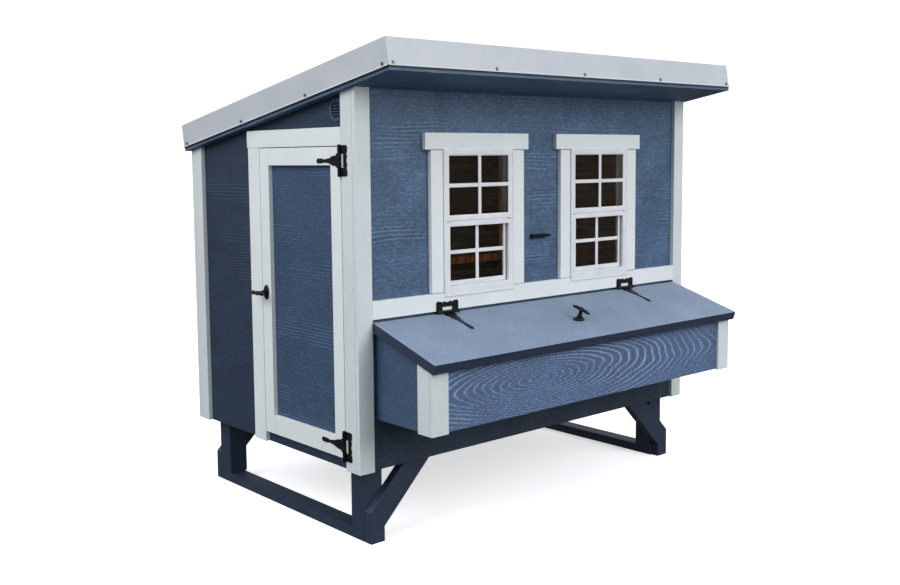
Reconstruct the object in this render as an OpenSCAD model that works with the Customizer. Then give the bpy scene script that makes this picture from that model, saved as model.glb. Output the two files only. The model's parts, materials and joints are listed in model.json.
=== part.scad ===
// Raised shed-roof chicken coop with an outside nest box. Millimetres, +Z up, door end at -X, nest box at -Y.

/* [Coop body] */
// Length over the corner boards, along the windows
body_length = 1930; // [1500:10:2600]
// Depth over the corner boards
body_depth = 1213; // [950:1:1600]
// Front wall height from the bottom of the wall to the soffit
wall_height = 1409; // [1180:1:1700]
// Height of the bottom of the wall above the ground
leg_height = 285; // [230:1:350]
// Thickness of the wall, door and nest box panels
sheet = 12; // [9:1:16]
// Side of the square framing timber inside the walls
stud = 38; // [30:1:45]

/* [Trim boards] */
// Thickness of the white boards
trim_thick = 19; // [15:1:24]
// Width of the corner boards and the belly band
trim_width = 68; // [55:1:82]
// Width of the board beside the door
casing_width = 85; // [70:1:102]
// Height of the belly band's top edge above the bottom of the wall
band_top = 636; // [600:1:680]

/* [Roof] */
// Slope of the roof in degrees
roof_pitch = 9.87; // [6:0.01:12]
// Overhang past the front of the coop
roof_front = 211; // [170:1:250]
// Overhang past the back of the coop
roof_rear = 34; // [28:1:45]
// Overhang past each end of the coop
roof_side = 23; // [18:1:30]
// Depth of the metal edge trim
fascia_height = 100; // [82:1:120]
// How far the soffit shows below the metal edge
soffit_drop = 15; // [12:1:18]
// Thickness of the metal sheet and edge trim
metal = 2; // [1:0.5:3]
// Radius of the roof screw heads
screw_radius = 5; // [4:0.5:6]

/* [Door] */
// Width of the door
door_width = 554; // [460:1:640]
// Height of the door
door_height = 1155; // [960:1:1250]
// Gap round the closed door
door_gap = 3; // [2.5:0.5:4]
// Width of the door's upright frame boards
stile_width = 64; // [52:1:78]
// Height of the door's bottom frame board
bottom_rail = 77; // [64:1:92]
// How far the door closes onto the framing behind it
door_stop = 13; // [10:1:16]

/* [Windows] */
// Distance of each window's middle from the coop's middle
window_offset = 361; // [330:1:400]
// Width of the window unit
window_width = 376; // [320:1:440]
// Height of the window unit
window_height = 548; // [460:1:560]
// Width of the boards beside each window
window_trim = 62; // [50:1:74]
// Height of the header board over each window
window_header = 66; // [54:1:80]
// How far the header board runs past the side boards
header_ear = 27; // [20:1:34]
// Width of the window frame's border beside the lower light
jamb = 30; // [27:1:34]
// How far the window frame stands out from the boards
window_lip = 4; // [3:0.5:5]
// How far the window frame laps over the belly band
window_lap = 16; // [13:1:19]
// Width of the moving sash's uprights
sash_stile = 12.5; // [10.5:0.5:15]
// Width of the window bars
bar_width = 16; // [13:1:19]
// Thickness of a glass pane
glass = 3; // [2.5:0.5:4]
// Side clearance of the moving sash
sash_gap = 1; // [0.8:0.1:1.2]
// How far the moving sash slides up
sash_travel = 225; // [180:1:235]

/* [Nest box] */
// Inset of the lid from each end of the coop
lid_inset = 67; // [55:1:80]
// Slope of the lid in degrees
lid_slope = 17.6; // [14:0.1:21]
// Length of the lid down its slope
lid_length = 361; // [300:1:430]
// Depth of the lid's edge
lid_edge = 36; // [30:1:43]
// Thickness of the lid's board
lid_board = 15; // [12:1:18]
// Inset of the box's end boards from the lid's ends
box_inset = 10; // [8:1:12]
// Distance of the box's front from the front of the corner boards
box_reach = 316; // [260:1:340]
// Height of the underside of the box above the bottom of the wall
box_bottom = 194; // [160:1:230]
// Width of the nest box corner boards
box_trim = 78; // [64:1:90]
// Gap between the closed lid and the box
lid_gap = 1; // [0.8:0.1:1.2]
// Distance of the lid's hinge axis below the band's top edge
lid_axis_drop = 72; // [60:1:86]

/* [Legs] */
// Inset of the leg frames from the ends of the coop
leg_inset = 66; // [55:1:80]
// Side of the square leg posts
post_size = 84; // [70:1:100]
// Height of the skids
skid_height = 40; // [33:1:48]
// Width of the skids
skid_width = 76; // [63:1:84]
// Thickness of the diagonal braces
brace_thick = 38; // [32:1:45]
// Distance of the front braces from the front of the coop
brace_front = 28; // [23:1:33]
// Height of the brace's upright foot
brace_foot = 122; // [100:1:146]

/* [Hinges and handles] */
// Radius of a hinge barrel
barrel_radius = 6.5; // [5.5:0.1:7.8]
// Radius of a hinge pin
pin_radius = 2.5; // [2.1:0.1:3]
// Thickness of the hinge plates
plate = 3; // [2.5:0.1:3.6]
// Height of the fixed hinge plate along its barrel
leaf_height = 112; // [94:1:130]
// Width of the fixed hinge plate from the barrel
leaf_width = 42; // [35:1:50]
// Width of the gap in the fixed plate beside its middle knuckle
leaf_slit = 12; // [10:1:14]
// Length of the hinge strap from the barrel
strap_length = 150; // [125:1:180]
// Distance of each lid hinge from the coop's middle
lid_hinge_offset = 536; // [450:1:640]
// Height of each handle's stem
stem_height = 44; // [37:1:52]
// Length of each handle's grip bar
grip_length = 98; // [82:1:112]
// Thickness of the oval plates under the handles
rose_thick = 9; // [7.5:0.5:11]
// Radius of the handle shafts
shaft_radius = 5; // [4:0.1:6]
// Distance of the lid handle from the lid's hinge axis, down the slope
lid_handle_at = 205; // [170:1:240]
// Height of the door handle above the bottom of the door
door_handle_at = 578; // [480:1:680]
// Reach of the latch tongue
tongue_reach = 64; // [58:1:70]
// Running clearance on a turning radius
running_fit = 0.06; // [0.03:0.01:0.09]
// Clearance of a driven-in pin
press_fit = 0.01; // [0:0.01:0.02]

/* [Lid keeper] */
// Length of the swivelling keeper bar
keeper_length = 118; // [98:1:140]
// Height of the keeper above the band's top edge
keeper_up = 191; // [160:1:228]

/* [Interior, vents and hen door] */
// Radius of the round vent's flange
vent_radius = 42; // [35:1:44]
// Side of the roost bars
roost_bar = 40; // [33:1:48]
// Width of the hen door opening
hen_width = 290; // [240:1:340]
// Height of the hen door opening
hen_height = 340; // [280:1:400]
// Sliding clearance of the hen door
hen_gap = 1; // [0.8:0.1:1.2]
// How far the hen door slides up
hen_travel = 300; // [250:1:330]

/* [Hidden] */

blue = "#46587a";
dark_blue = "#27304a";
white = "#e4e6ea";
pale = "#c9ced4";
black = "#1b1c1e";
raw = "#b98a58";
clear = "#5f7282";
e = 0.01;
tan_r = tan(roof_pitch);
sin_r = sin(roof_pitch);
cos_r = cos(roof_pitch);
soffit_z = leg_height + wall_height;
roof_deep = fascia_height + soffit_drop;
roof_s0 = (-roof_front - roof_deep * sin_r) / cos_r;
roof_s1 = (body_depth + roof_rear - roof_deep * sin_r) / cos_r;
soffit_t = 8;
deck_n = roof_deep - 6;
face = trim_thick;
inside = trim_thick + sheet;
corner_deep = trim_thick + trim_width;
band_z1 = leg_height + band_top;
band_z0 = band_z1 - trim_width;
floor_z = leg_height + stud;
floor_top = floor_z + sheet;
door_y0 = corner_deep + door_gap;
door_y1 = door_y0 + door_width;
door_z0 = floor_top - 6;
door_z1 = door_z0 + door_height;
barrel_out = barrel_radius + 0.5;
door_axis_y = door_y0 - 2;
hinge_low = door_z0 + 50;
hinge_high = door_z1 - 51;
mid_x = body_length / 2;
win_z0 = band_z1;
win_z1 = win_z0 + window_height;
frame_y1 = 38;
meet_z = win_z0 + window_height / 2;
low_light_z0 = win_z0 + 23;
low_light_z1 = meet_z - 20;
up_light_z0 = meet_z + 19.5;
up_light_z1 = win_z1 - 17;
track_y = 8;
track_deep = 8;
sash_y = 13;
sash_thick = 12;
sash_lug = 5;
sash_z0 = low_light_z0 + 0.5;
sash_z1 = meet_z + 5;
sash_rise = min(sash_travel, win_z1 - 10 - sash_z1);
lid_c = cos(lid_slope);
lid_s = sin(lid_slope);
lid_axis_y = -barrel_out;
lid_axis_z = band_z1 - lid_axis_drop;
lid_r0 = -4;
lid_r1 = lid_r0 + lid_length;
lid_top_n = -barrel_out;
lid_low_n = lid_top_n - lid_edge;
box_top_n = lid_low_n - lid_gap;
lid_x0 = lid_inset;
lid_x1 = body_length - lid_inset;
box_x0 = lid_x0 + box_inset;
box_x1 = lid_x1 - box_inset;
box_z0 = leg_height + box_bottom;
nest_skin = 12;
nest_z1 = min(band_z0 - 45, lid_z(inside, lid_low_n));
keeper_z = band_z1 + keeper_up;
keeper_knob = 10;
keeper_pin = 3;
hen_z0 = floor_top + 60;
hen_x0 = mid_x - hen_width / 2;
hen_x1 = mid_x + hen_width / 2;
hen_lap = 18;
seat_gap = 0.3;
slope_fit = 0.05;
vent_y = corner_deep + 6 + vent_radius;
vent_z = soffit_z - vent_y * tan_r - vent_radius - 12;
handle_z = door_z0 + door_handle_at;
handle_y = door_y1 - stile_width / 2;
grip_thick = 7;
lid_tongue = 34;
lid_tongue_n = lid_top_n - lid_board - 16;
hook_r = lid_handle_at + lid_tongue - 6;
hook_n = lid_tongue_n + 5;
x_low = -stem_height - plate - grip_thick;
x_high = body_length + roof_side + metal + 5;
y_low = min(lid_y(lid_r1, lid_top_n), -roof_front - metal - 6);
y_high = body_depth + roof_rear + metal * cos_r;
shift_x = -(x_low + x_high) / 2;
shift_y = -(y_low + y_high) / 2;

// Height of the wall tops, a hair under the sloping soffit
function soffit(y) = soffit_z - slope_fit - y * tan_r;
function lid_y(r, n) = lid_axis_y - r * lid_c - n * lid_s;
function lid_z(y, n) = lid_axis_z + (y - lid_axis_y) * tan(lid_slope) + n / lid_c;

module placed() {
    translate([shift_x, shift_y, 0]) children();
}

module block(x0, x1, y0, y1, z0, z1) {
    translate([x0, y0, z0]) cube([x1 - x0, y1 - y0, z1 - z0]);
}

// A profile drawn in Y and Z, run along X
module along_x(x0, x1) {
    translate([x0, 0, 0]) rotate([90, 0, 90]) linear_extrude(x1 - x0) children();
}

// A profile drawn in X and Z, run along Y
module along_y(y0, y1) {
    translate([0, y1, 0]) rotate([90, 0, 0]) linear_extrude(y1 - y0) children();
}

// A board whose top follows the soffit
module to_soffit(x0, x1, y0, y1, z0) {
    along_x(x0, x1) polygon([[y0, z0], [y1, z0], [y1, soffit(y1)], [y0, soffit(y0)]]);
}

// The roof's own frame: Y down the slope, Z square to it, zero at the soffit over the front boards
module on_roof() {
    translate([0, 0, soffit_z]) rotate([-roof_pitch, 0, 0]) children();
}

// The lid's own frame: -Y down its slope, Z square to it, zero on the hinge axis
module on_lid() {
    translate([0, lid_axis_y, lid_axis_z]) rotate([lid_slope, 0, 0]) children();
}

module mirror_end(right) {
    if (right)
        translate([body_length, 0, 0]) mirror([1, 0, 0]) children();
    else
        children();
}

module mirror_back(rear) {
    if (rear)
        translate([0, body_depth, 0]) mirror([0, 1, 0]) children();
    else
        children();
}

// ---- legs ----

module skid(right) {
    color(dark_blue) placed() mirror_end(right)
        block(leg_inset, leg_inset + skid_width, brace_front + brace_thick,
            body_depth - brace_front - brace_thick, 0, skid_height);
}

module post(right, rear) {
    color(dark_blue) placed() mirror_end(right) mirror_back(rear)
        block(leg_inset, leg_inset + post_size, brace_front + brace_thick,
            brace_front + brace_thick + post_size, skid_height, leg_height);
}

module brace(right, rear) {
    foot = leg_inset + 66;
    heel = brace_foot - 64;
    color(dark_blue) placed() mirror_end(right) mirror_back(rear)
        along_y(brace_front, brace_front + brace_thick)
            polygon([[leg_inset, 0], [foot, 0], [foot, heel], [foot + leg_height - heel, leg_height],
                [leg_inset + leg_height - brace_foot, leg_height], [leg_inset, brace_foot]]);
}

// ---- floor ----

module floor_frame() {
    bays = 3;
    step = (body_length - 2 * inside - stud) / bays;
    color(raw) placed() {
        difference() {
            block(inside, body_length - inside, inside, body_depth - inside, leg_height, floor_z);
            block(inside + stud, body_length - inside - stud, inside + stud, body_depth - inside - stud,
                leg_height - 1, floor_z + 1);
        }
        for (i = [1:bays - 1])
            block(inside + i * step, inside + i * step + stud, inside + stud - 1,
                body_depth - inside - stud + 1, leg_height, floor_z);
    }
}

module floor_panel() {
    color(raw) placed()
        block(inside, body_length - inside, inside, body_depth - inside, floor_z, floor_top);
}

// ---- walls ----

module front_wall() {
    color(blue) placed() difference() {
        to_soffit(face, body_length - face, face, inside, leg_height);
        for (side = [-1, 1])
            window_hole(mid_x + side * window_offset);
        block(box_x0 + 2 * nest_skin, box_x1 - 2 * nest_skin, 0, inside + 1, box_z0 + nest_skin, nest_z1);
        keeper_axis() cylinder(r = keeper_pin + press_fit, h = 60, center = true, $fn = 48);
    }
}

module window_hole(x) {
    block(x - window_width / 2, x + window_width / 2, 0, inside + 1, win_z0, win_z1);
}

module rear_wall() {
    color(blue) placed() difference() {
        to_soffit(face, body_length - face, body_depth - inside, body_depth - face, leg_height);
        block(hen_x0, hen_x1, body_depth - inside - 1, body_depth, hen_z0, hen_z0 + hen_height);
    }
}

module end_panel() {
    to_soffit(face, inside, inside, body_depth - inside, leg_height);
}

module vent_hole() {
    translate([face, vent_y, vent_z]) rotate([0, 90, 0])
        cylinder(r = vent_radius - 4, h = 60, center = true, $fn = 64);
}

module left_wall() {
    color(blue) placed() difference() {
        end_panel();
        block(0, inside + 1, door_y0 - door_gap, door_y1 + door_gap, door_z0 - door_gap, door_z1 + door_gap);
        vent_hole();
    }
}

module right_wall() {
    color(blue) placed() mirror_end(true) difference() {
        end_panel();
        vent_hole();
    }
}

// A stud inside the walls, from the floor plate up to the soffit
module wall_stud(x, y) {
    to_soffit(x, x + stud, y, y + stud, floor_top);
}

module wall_frame() {
    x0 = inside;
    x1 = body_length - inside - stud;
    y0 = inside;
    y1 = body_depth - inside - stud;
    rail_z = win_z0 - 10 - stud;
    color(raw) placed() {
        for (x = [x0, x1], y = [y0, y1])
            wall_stud(x, y);
        // floor plates
        difference() {
            block(x0, x1 + stud, y0, y1 + stud, floor_top, floor_top + sheet);
            block(x0 + stud, x1, y0 + stud, y1, floor_top - 1, floor_top + sheet + 1);
        }
        // top plates, front, back and both ends
        for (y = [y0, y1])
            along_x(x0, x1 + stud) polygon([[y, soffit(y) - stud], [y + stud, soffit(y + stud) - stud],
                [y + stud, soffit(y + stud)], [y, soffit(y)]]);
        for (x = [x0, x1])
            along_x(x, x + stud) polygon([[y0, soffit(y0) - stud], [y1 + stud, soffit(y1 + stud) - stud],
                [y1 + stud, soffit(y1 + stud)], [y0, soffit(y0)]]);
        // rails that carry the windows and the hinges
        block(x0, x1 + stud, y0, y0 + stud, rail_z, rail_z + stud);
        block(x0, x1 + stud, y1, y1 + stud, rail_z, rail_z + stud);
        block(x1, x1 + stud, y0, y1 + stud, rail_z, rail_z + stud);
        // studs beside the windows
        for (side = [-1, 1], edge = [-1, 1])
            to_soffit(mid_x + side * window_offset + edge * (window_width / 2 + stud / 2) - stud / 2,
                mid_x + side * window_offset + edge * (window_width / 2 + stud / 2) + stud / 2,
                y0, y0 + stud, rail_z);
        // studs and head that the door closes onto
        to_soffit(x0, x0 + stud, door_y0 + door_stop - stud, door_y0 + door_stop, floor_top);
        to_soffit(x0, x0 + stud, door_y1 - door_stop, door_y1 - door_stop + stud, floor_top);
        block(x0, x0 + stud, door_y0, door_y1, door_z1 - door_stop, door_z1 - door_stop + stud);
        // studs beside the hen door
        for (x = [hen_x0 - 30 - stud, hen_x1 + 30])
            to_soffit(x, x + stud, y1, y1 + stud, floor_top);
    }
}

// ---- roof ----

module soffit_panel() {
    color(blue) placed() on_roof()
        block(-roof_side, body_length + roof_side, roof_s0, roof_s1, 0, soffit_t);
}

module roof_frame() {
    bays = 5;
    step = (body_length + 2 * roof_side - stud) / bays;
    color(raw) placed() on_roof() {
        for (i = [0:bays])
            block(-roof_side + i * step, -roof_side + i * step + stud, roof_s0, roof_s1, soffit_t, deck_n);
        block(-roof_side, body_length + roof_side, roof_s0, roof_s0 + stud, soffit_t, deck_n);
        block(-roof_side, body_length + roof_side, roof_s1 - stud, roof_s1, soffit_t, deck_n);
    }
}

module roof_sheet() {
    ribs = 8;
    step = (body_length + 2 * roof_side) / ribs;
    color(pale) placed() on_roof() {
        block(-roof_side, body_length + roof_side, roof_s0, roof_s1, deck_n, deck_n + metal);
        for (i = [0:ribs - 1])
            along_y(roof_s0 + 45, roof_s1 - 45)
                polygon([[-roof_side + (i + 0.5) * step - 14, deck_n + metal],
                    [-roof_side + (i + 0.5) * step + 14, deck_n + metal],
                    [-roof_side + (i + 0.5) * step + 7, roof_deep - 1],
                    [-roof_side + (i + 0.5) * step - 7, roof_deep - 1]]);
    }
}

// Edge trim section: top flange, face and a lip kicked outwards, drawn with the face at zero
function edge_points() = [[36, roof_deep - metal], [36, roof_deep], [-metal, roof_deep],
    [-metal, soffit_drop + 7], [-metal - 5, soffit_drop + 2], [-metal - 5, soffit_drop],
    [-metal - 3.6, soffit_drop], [0, soffit_drop + 5], [0, roof_deep - metal]];

module edge_profile() {
    polygon(edge_points());
}

module fascia_front() {
    color(pale) placed() on_roof()
        along_x(-roof_side - metal, body_length + roof_side + metal)
            translate([roof_s0, 0]) edge_profile();
}

module fascia_rear() {
    color(pale) placed() on_roof()
        along_x(-roof_side - metal, body_length + roof_side + metal)
            translate([roof_s1, 0]) mirror([1, 0]) edge_profile();
}

module fascia_end() {
    on_roof() difference() {
        along_y(roof_s0 + e, roof_s1 - e) translate([-roof_side, 0]) edge_profile();
        for (s = [roof_s0 - 10, roof_s1 - 37])
            block(-roof_side - metal, -roof_side + 40, s, s + 47, roof_deep - metal - e, roof_deep + 1);
        for (s = [roof_s0 - 10, roof_s1])
            block(-roof_side - 20, -roof_side + 40, s, s + 10, 0, roof_deep + 1);
    }
}

module fascia_left() {
    color(pale) placed() fascia_end();
}

module fascia_right() {
    color(pale) placed() mirror_end(true) fascia_end();
}

module screw_head() {
    rotate([0, -90, 0]) translate([0, 0, slope_fit]) {
        cylinder(r = screw_radius + 1.5, h = 1.2, $fn = 32);
        cylinder(r = screw_radius, h = 4.5, $fn = 6);
    }
}

module fascia_screws() {
    count = 5;
    side_count = 4;
    low_n = soffit_drop + 13;
    step = (body_length + 2 * roof_side - 40) / (count - 1);
    side_step = (roof_s1 - roof_s0 - 60) / (side_count - 1);
    color(pale) placed() on_roof() {
        for (i = [0:count - 1]) {
            x = -roof_side + 20 + i * step;
            translate([x, roof_s0 - metal, low_n]) rotate([0, 0, 90]) screw_head();
            translate([x, roof_s1 + metal, low_n]) rotate([0, 0, -90]) screw_head();
        }
        for (i = [0:side_count - 1]) {
            s = roof_s0 + 30 + i * side_step;
            translate([-roof_side - metal, s, low_n]) screw_head();
            translate([body_length + roof_side + metal, s, low_n]) rotate([0, 0, 180]) screw_head();
        }
    }
}

// ---- white boards ----

module corner(right, rear) {
    y_front = rear ? body_depth - face : 0;
    y_side = rear ? body_depth - corner_deep : face;
    color(white) placed() mirror_end(right) {
        to_soffit(0, trim_width, y_front, y_front + face, leg_height);
        to_soffit(0, face, y_side, y_side + trim_width, leg_height);
    }
}

module belly_band() {
    color(white) placed() block(trim_width, body_length - trim_width, 0, face, band_z0, band_z1);
}

module window_boards(x) {
    half = window_width / 2;
    color(white) placed() {
        for (side = [-1, 1])
            block(x + side * (half + window_trim / 2) - window_trim / 2,
                x + side * (half + window_trim / 2) + window_trim / 2, 0, face, win_z0, win_z1);
        block(x - half - window_trim - header_ear, x + half + window_trim + header_ear,
            0, face, win_z1, win_z1 + window_header);
    }
}

module door_trim() {
    y1 = door_y1 + door_gap;
    z1 = door_z1 + door_gap;
    end = y1 + casing_width + 8;
    color(white) placed() {
        block(0, face, y1, y1 + casing_width, leg_height, z1);
        block(0, face, corner_deep, end, z1, min(z1 + trim_width, soffit(end) - door_gap));
    }
}

// ---- door ----

module door_panel() {
    color(blue) placed() difference() {
        block(face, inside, door_y0, door_y1, door_z0, door_z1);
        door_handle_axis() cylinder(r = shaft_radius + running_fit, h = 200, center = true, $fn = 48);
    }
}

module door_frame() {
    color(white) placed() difference() {
        block(0, face, door_y0, door_y1, door_z0, door_z1);
        block(-1, face + 1, door_y0 + stile_width, door_y1 - stile_width,
            door_z0 + bottom_rail, door_z1 - trim_width);
        door_handle_axis() cylinder(r = shaft_radius + running_fit, h = 200, center = true, $fn = 48);
    }
}

// ---- T hinges: barrel along Z at zero, mounting face at X = barrel_out ----

module hinge_plate_shape() {
    half = leaf_height / 2;
    polygon([[0, -half], [-leaf_width + 6, -half], [-leaf_width, -half + 7], [-leaf_width + 2, -half + 24],
        [-leaf_width + 7, -half + 32], [-leaf_width + 1, -18], [-leaf_width + 7, 0], [-leaf_width + 1, 18],
        [-leaf_width + 7, half - 32], [-leaf_width + 2, half - 24], [-leaf_width, half - 7],
        [-leaf_width + 6, half], [0, half]]);
}

module hinge_leaf() {
    knuckle = leaf_height * 0.27;
    difference() {
        union() {
            translate([barrel_out, 0, 0]) rotate([90, 0, -90]) mirror([1, 0, 0])
                linear_extrude(plate) hinge_plate_shape();
            for (side = [-1, 1])
                translate([0, 0, side * (leaf_height - knuckle) / 2])
                    cylinder(r = barrel_radius, h = knuckle, center = true, $fn = 48);
        }
        cylinder(r = pin_radius + press_fit, h = leaf_height + 2, center = true, $fn = 48);
        // notch for the strap's knuckle, widened into a slit beside it
        translate([-barrel_radius - 0.3, -barrel_radius - 0.3 - leaf_slit, knuckle - leaf_height / 2])
            cube([3 * barrel_radius, 2 * barrel_radius + 0.6 + leaf_slit, leaf_height - 2 * knuckle]);
    }
}

module strap_shape() {
    tip = strap_length - 9;
    half = leaf_height * 0.22;
    polygon([[0, -half], [8, -half], [12, -half - 2.5], [20, -half - 2], [26, -half + 2], [29, -half + 6],
        [36, -half + 7], [42, -half + 6], [62, -half + 12], [67, -half + 15], [tip - 38, -5],
        [tip - 32, -7], [tip - 24, -8.5], [tip, -9], [tip, 9], [tip - 24, 8.5], [tip - 32, 7],
        [tip - 38, 5], [67, half - 15], [62, half - 12], [42, half - 6], [36, half - 7],
        [29, half - 6], [26, half - 2], [20, half + 2], [12, half + 2.5], [8, half], [0, half]]);
    translate([tip, 0]) circle(r = 9, $fn = 36);
}

module hinge_strap() {
    difference() {
        union() {
            translate([barrel_out, 0, 0]) rotate([90, 0, -90]) mirror([1, 0, 0])
                linear_extrude(plate) strap_shape();
            cylinder(r = barrel_radius, h = leaf_height * 0.44, center = true, $fn = 48);
        }
        cylinder(r = pin_radius + running_fit, h = leaf_height, center = true, $fn = 48);
    }
}

module hinge_pin() {
    cylinder(r = pin_radius, h = leaf_height + 1, center = true, $fn = 48);
    for (side = [-1, 1])
        translate([0, 0, side * (leaf_height / 2 + 1.5)])
            cylinder(r = pin_radius + 2, h = 3, center = true, $fn = 32);
}

module at_door_hinges() {
    for (z = [hinge_low, hinge_high])
        translate([-barrel_out, door_axis_y, z]) children();
}

module at_lid_leaves() {
    for (side = [-1, 1])
        translate([mid_x + side * lid_hinge_offset, lid_axis_y, lid_axis_z]) rotate([-90, 0, 90]) children();
}

module at_lid_straps() {
    for (side = [-1, 1])
        translate([mid_x + side * lid_hinge_offset, lid_axis_y, lid_axis_z])
            rotate([lid_slope - 90, 0, 0]) rotate([-90, 0, 90]) children();
}

module hinge_leaves() {
    color(black) placed() {
        at_door_hinges() hinge_leaf();
        at_lid_leaves() hinge_leaf();
    }
}

module hinge_pins() {
    color(black) placed() {
        at_door_hinges() hinge_pin();
        at_lid_leaves() hinge_pin();
    }
}

module door_hinge_straps() {
    color(black) placed() at_door_hinges() hinge_strap();
}

module lid_hinge_straps() {
    color(black) placed() at_lid_straps() hinge_strap();
}

// ---- T handles: shaft along Z, mounting face at zero, grip along X ----

module handle_plate() {
    difference() {
        linear_extrude(rose_thick) union() {
            square([26, 34], center = true);
            for (side = [-1, 1])
                translate([side * 12.5, 0]) circle(r = 17, $fn = 40);
        }
        translate([0, 0, -1]) cylinder(r = shaft_radius + running_fit, h = rose_thick + 2, $fn = 48);
    }
}

module handle(depth, tongue) {
    grip = grip_length / 2;
    top = plate + stem_height;
    translate([0, 0, -depth - 8]) cylinder(r = shaft_radius, h = depth + 8 + top, $fn = 48);
    translate([0, 0, rose_thick + 0.5])
        cylinder(r1 = shaft_radius + 6, r2 = shaft_radius + 2.5, h = top - rose_thick - 2, $fn = 48);
    translate([0, 7, top - 6]) rotate([90, 0, 0]) linear_extrude(14)
        polygon([[-grip, 7], [-grip, 11], [-grip * 0.5, 12.5], [0, grip_thick + 6], [grip * 0.5, 12.5],
            [grip, 11], [grip, 7], [grip * 0.5, 1], [shaft_radius + 2, -3], [-shaft_radius - 2, -3],
            [-grip * 0.5, 1]]);
    translate([-9, -9, -depth - 5]) cube([18, 9 + tongue, 4]);
}

module door_handle_axis() {
    translate([0, handle_y, handle_z]) rotate([0, -90, 0]) rotate([0, 0, 90]) children();
}

module door_handle_plate() {
    color(black) placed() door_handle_axis() rotate([0, 0, 90]) handle_plate();
}

module door_handle() {
    color(black) placed() door_handle_axis() handle(inside + stud + 2, tongue_reach);
}

module lid_handle_axis() {
    translate([mid_x, lid_axis_y, lid_axis_z]) rotate([lid_slope, 0, 0])
        translate([0, -lid_handle_at, lid_top_n]) children();
}

module lid_handle_plate() {
    color(black) placed() lid_handle_axis() handle_plate();
}

module lid_handle() {
    color(black) placed() lid_handle_axis() rotate([0, 0, 90])
        handle(lid_top_n - lid_tongue_n - 5, lid_tongue);
}

// ---- windows ----

module pane_bars(x, half_w, z0, z1, y0, y1) {
    block(x - bar_width / 2, x + bar_width / 2, y0, y1, z0, z1);
    block(x - half_w, x + half_w, y0, y1, (z0 + z1) / 2 - bar_width / 2, (z0 + z1) / 2 + bar_width / 2);
}

module upper_glass_solid(x) {
    half = window_width / 2 - jamb + 5 + 4;
    block(x - half, x + half, 0, glass, up_light_z0 - 4, up_light_z1 + 4);
}

module window_frame(x) {
    half = window_width / 2;
    low_x = half - jamb;
    up_x = low_x + 5;
    track_x = low_x + track_deep;
    color(white) placed() difference() {
        union() {
            difference() {
                union() {
                    block(x - half, x + half, -window_lip, 0, win_z0 - window_lap, win_z1 + window_lip);
                    block(x - half, x + half, -window_lip, frame_y1, win_z0, win_z1);
                }
                // lights, and the groove between the two rails that part them
                block(x - low_x, x + low_x, -window_lip - 1, track_y + 1, low_light_z0, low_light_z1);
                block(x - up_x, x + up_x, -window_lip - 1, track_y + 1, up_light_z0, up_light_z1);
                block(x - low_x - 10, x + low_x + 10, -window_lip - 1, 3 - window_lip,
                    meet_z - 2, meet_z + 2);
                // opening behind them, and the side grooves that the moving sash runs in
                block(x - low_x, x + low_x, track_y, frame_y1 + 1, low_light_z0, up_light_z1);
                block(x - track_x, x + track_x, track_y, sash_y + sash_thick + sash_gap, low_light_z0,
                    sash_z1 + sash_rise + sash_gap);
            }
            pane_bars(x, up_x + 1, up_light_z0 - 1, up_light_z1 + 1, 0.5 - window_lip, 0);
        }
        upper_glass_solid(x);
    }
}

module upper_glass() {
    color(clear) placed() for (side = [-1, 1])
        upper_glass_solid(mid_x + side * window_offset);
}

module lower_glass_solid(x) {
    half = window_width / 2 - jamb - sash_gap - sash_stile + 4;
    block(x - half, x + half, sash_y + sash_lug, sash_y + sash_lug + glass, sash_z0 + 14, sash_z1 - 10);
}

module sash(x) {
    half = window_width / 2 - jamb - sash_gap;
    pane = half - sash_stile;
    color(white) placed() difference() {
        union() {
            difference() {
                union() {
                    block(x - half, x + half, sash_y, sash_y + sash_thick, sash_z0, sash_z1);
                    block(x - half - track_deep, x + half + track_deep,
                        sash_y + sash_lug, sash_y + sash_thick, sash_z0, sash_z1);
                }
                block(x - pane, x + pane, sash_y - 1, sash_y + sash_thick + 1, sash_z0 + 18, sash_z1 - 14);
            }
            pane_bars(x, pane + 1, sash_z0 + 17, sash_z1 - 13, sash_y + 1, sash_y + sash_lug);
        }
        lower_glass_solid(x);
    }
}

module lower_glass(x) {
    color(clear) placed() lower_glass_solid(x);
}

// ---- nest box ----

module nest_box() {
    y0 = -box_reach + nest_skin;
    y1 = y0 + sheet;
    color(blue) placed() {
        // front
        along_x(box_x0 + nest_skin, box_x1 - nest_skin)
            polygon([[y0, box_z0], [y1, box_z0], [y1, lid_z(y1, box_top_n)], [y0, lid_z(y0, box_top_n)]]);
        // ends
        for (x = [box_x0 + nest_skin, box_x1 - 2 * nest_skin])
            along_x(x, x + nest_skin)
                polygon([[y0, box_z0], [face, box_z0], [face, lid_z(-14, box_top_n)],
                    [-14, lid_z(-14, box_top_n)], [y0, lid_z(y0, box_top_n)]]);
        // floor
        block(box_x0 + nest_skin, box_x1 - nest_skin, y0, face, box_z0, box_z0 + nest_skin);
    }
}

module nest_corner_boards() {
    y0 = -box_reach;
    y1 = y0 + nest_skin;
    color(white) placed() for (right = [false, true]) mirror_end(right) {
        along_x(box_x0, box_x0 + box_trim)
            polygon([[y0, box_z0 - 4], [y1, box_z0 - 4], [y1, lid_z(y1, box_top_n)],
                [y0, lid_z(y0, box_top_n)]]);
        along_x(box_x0, box_x0 + nest_skin)
            polygon([[y0, box_z0 - 4], [y0 + box_trim, box_z0 - 4],
                [y0 + box_trim, lid_z(y0 + box_trim, box_top_n)], [y0, lid_z(y0, box_top_n)]]);
    }
}

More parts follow.
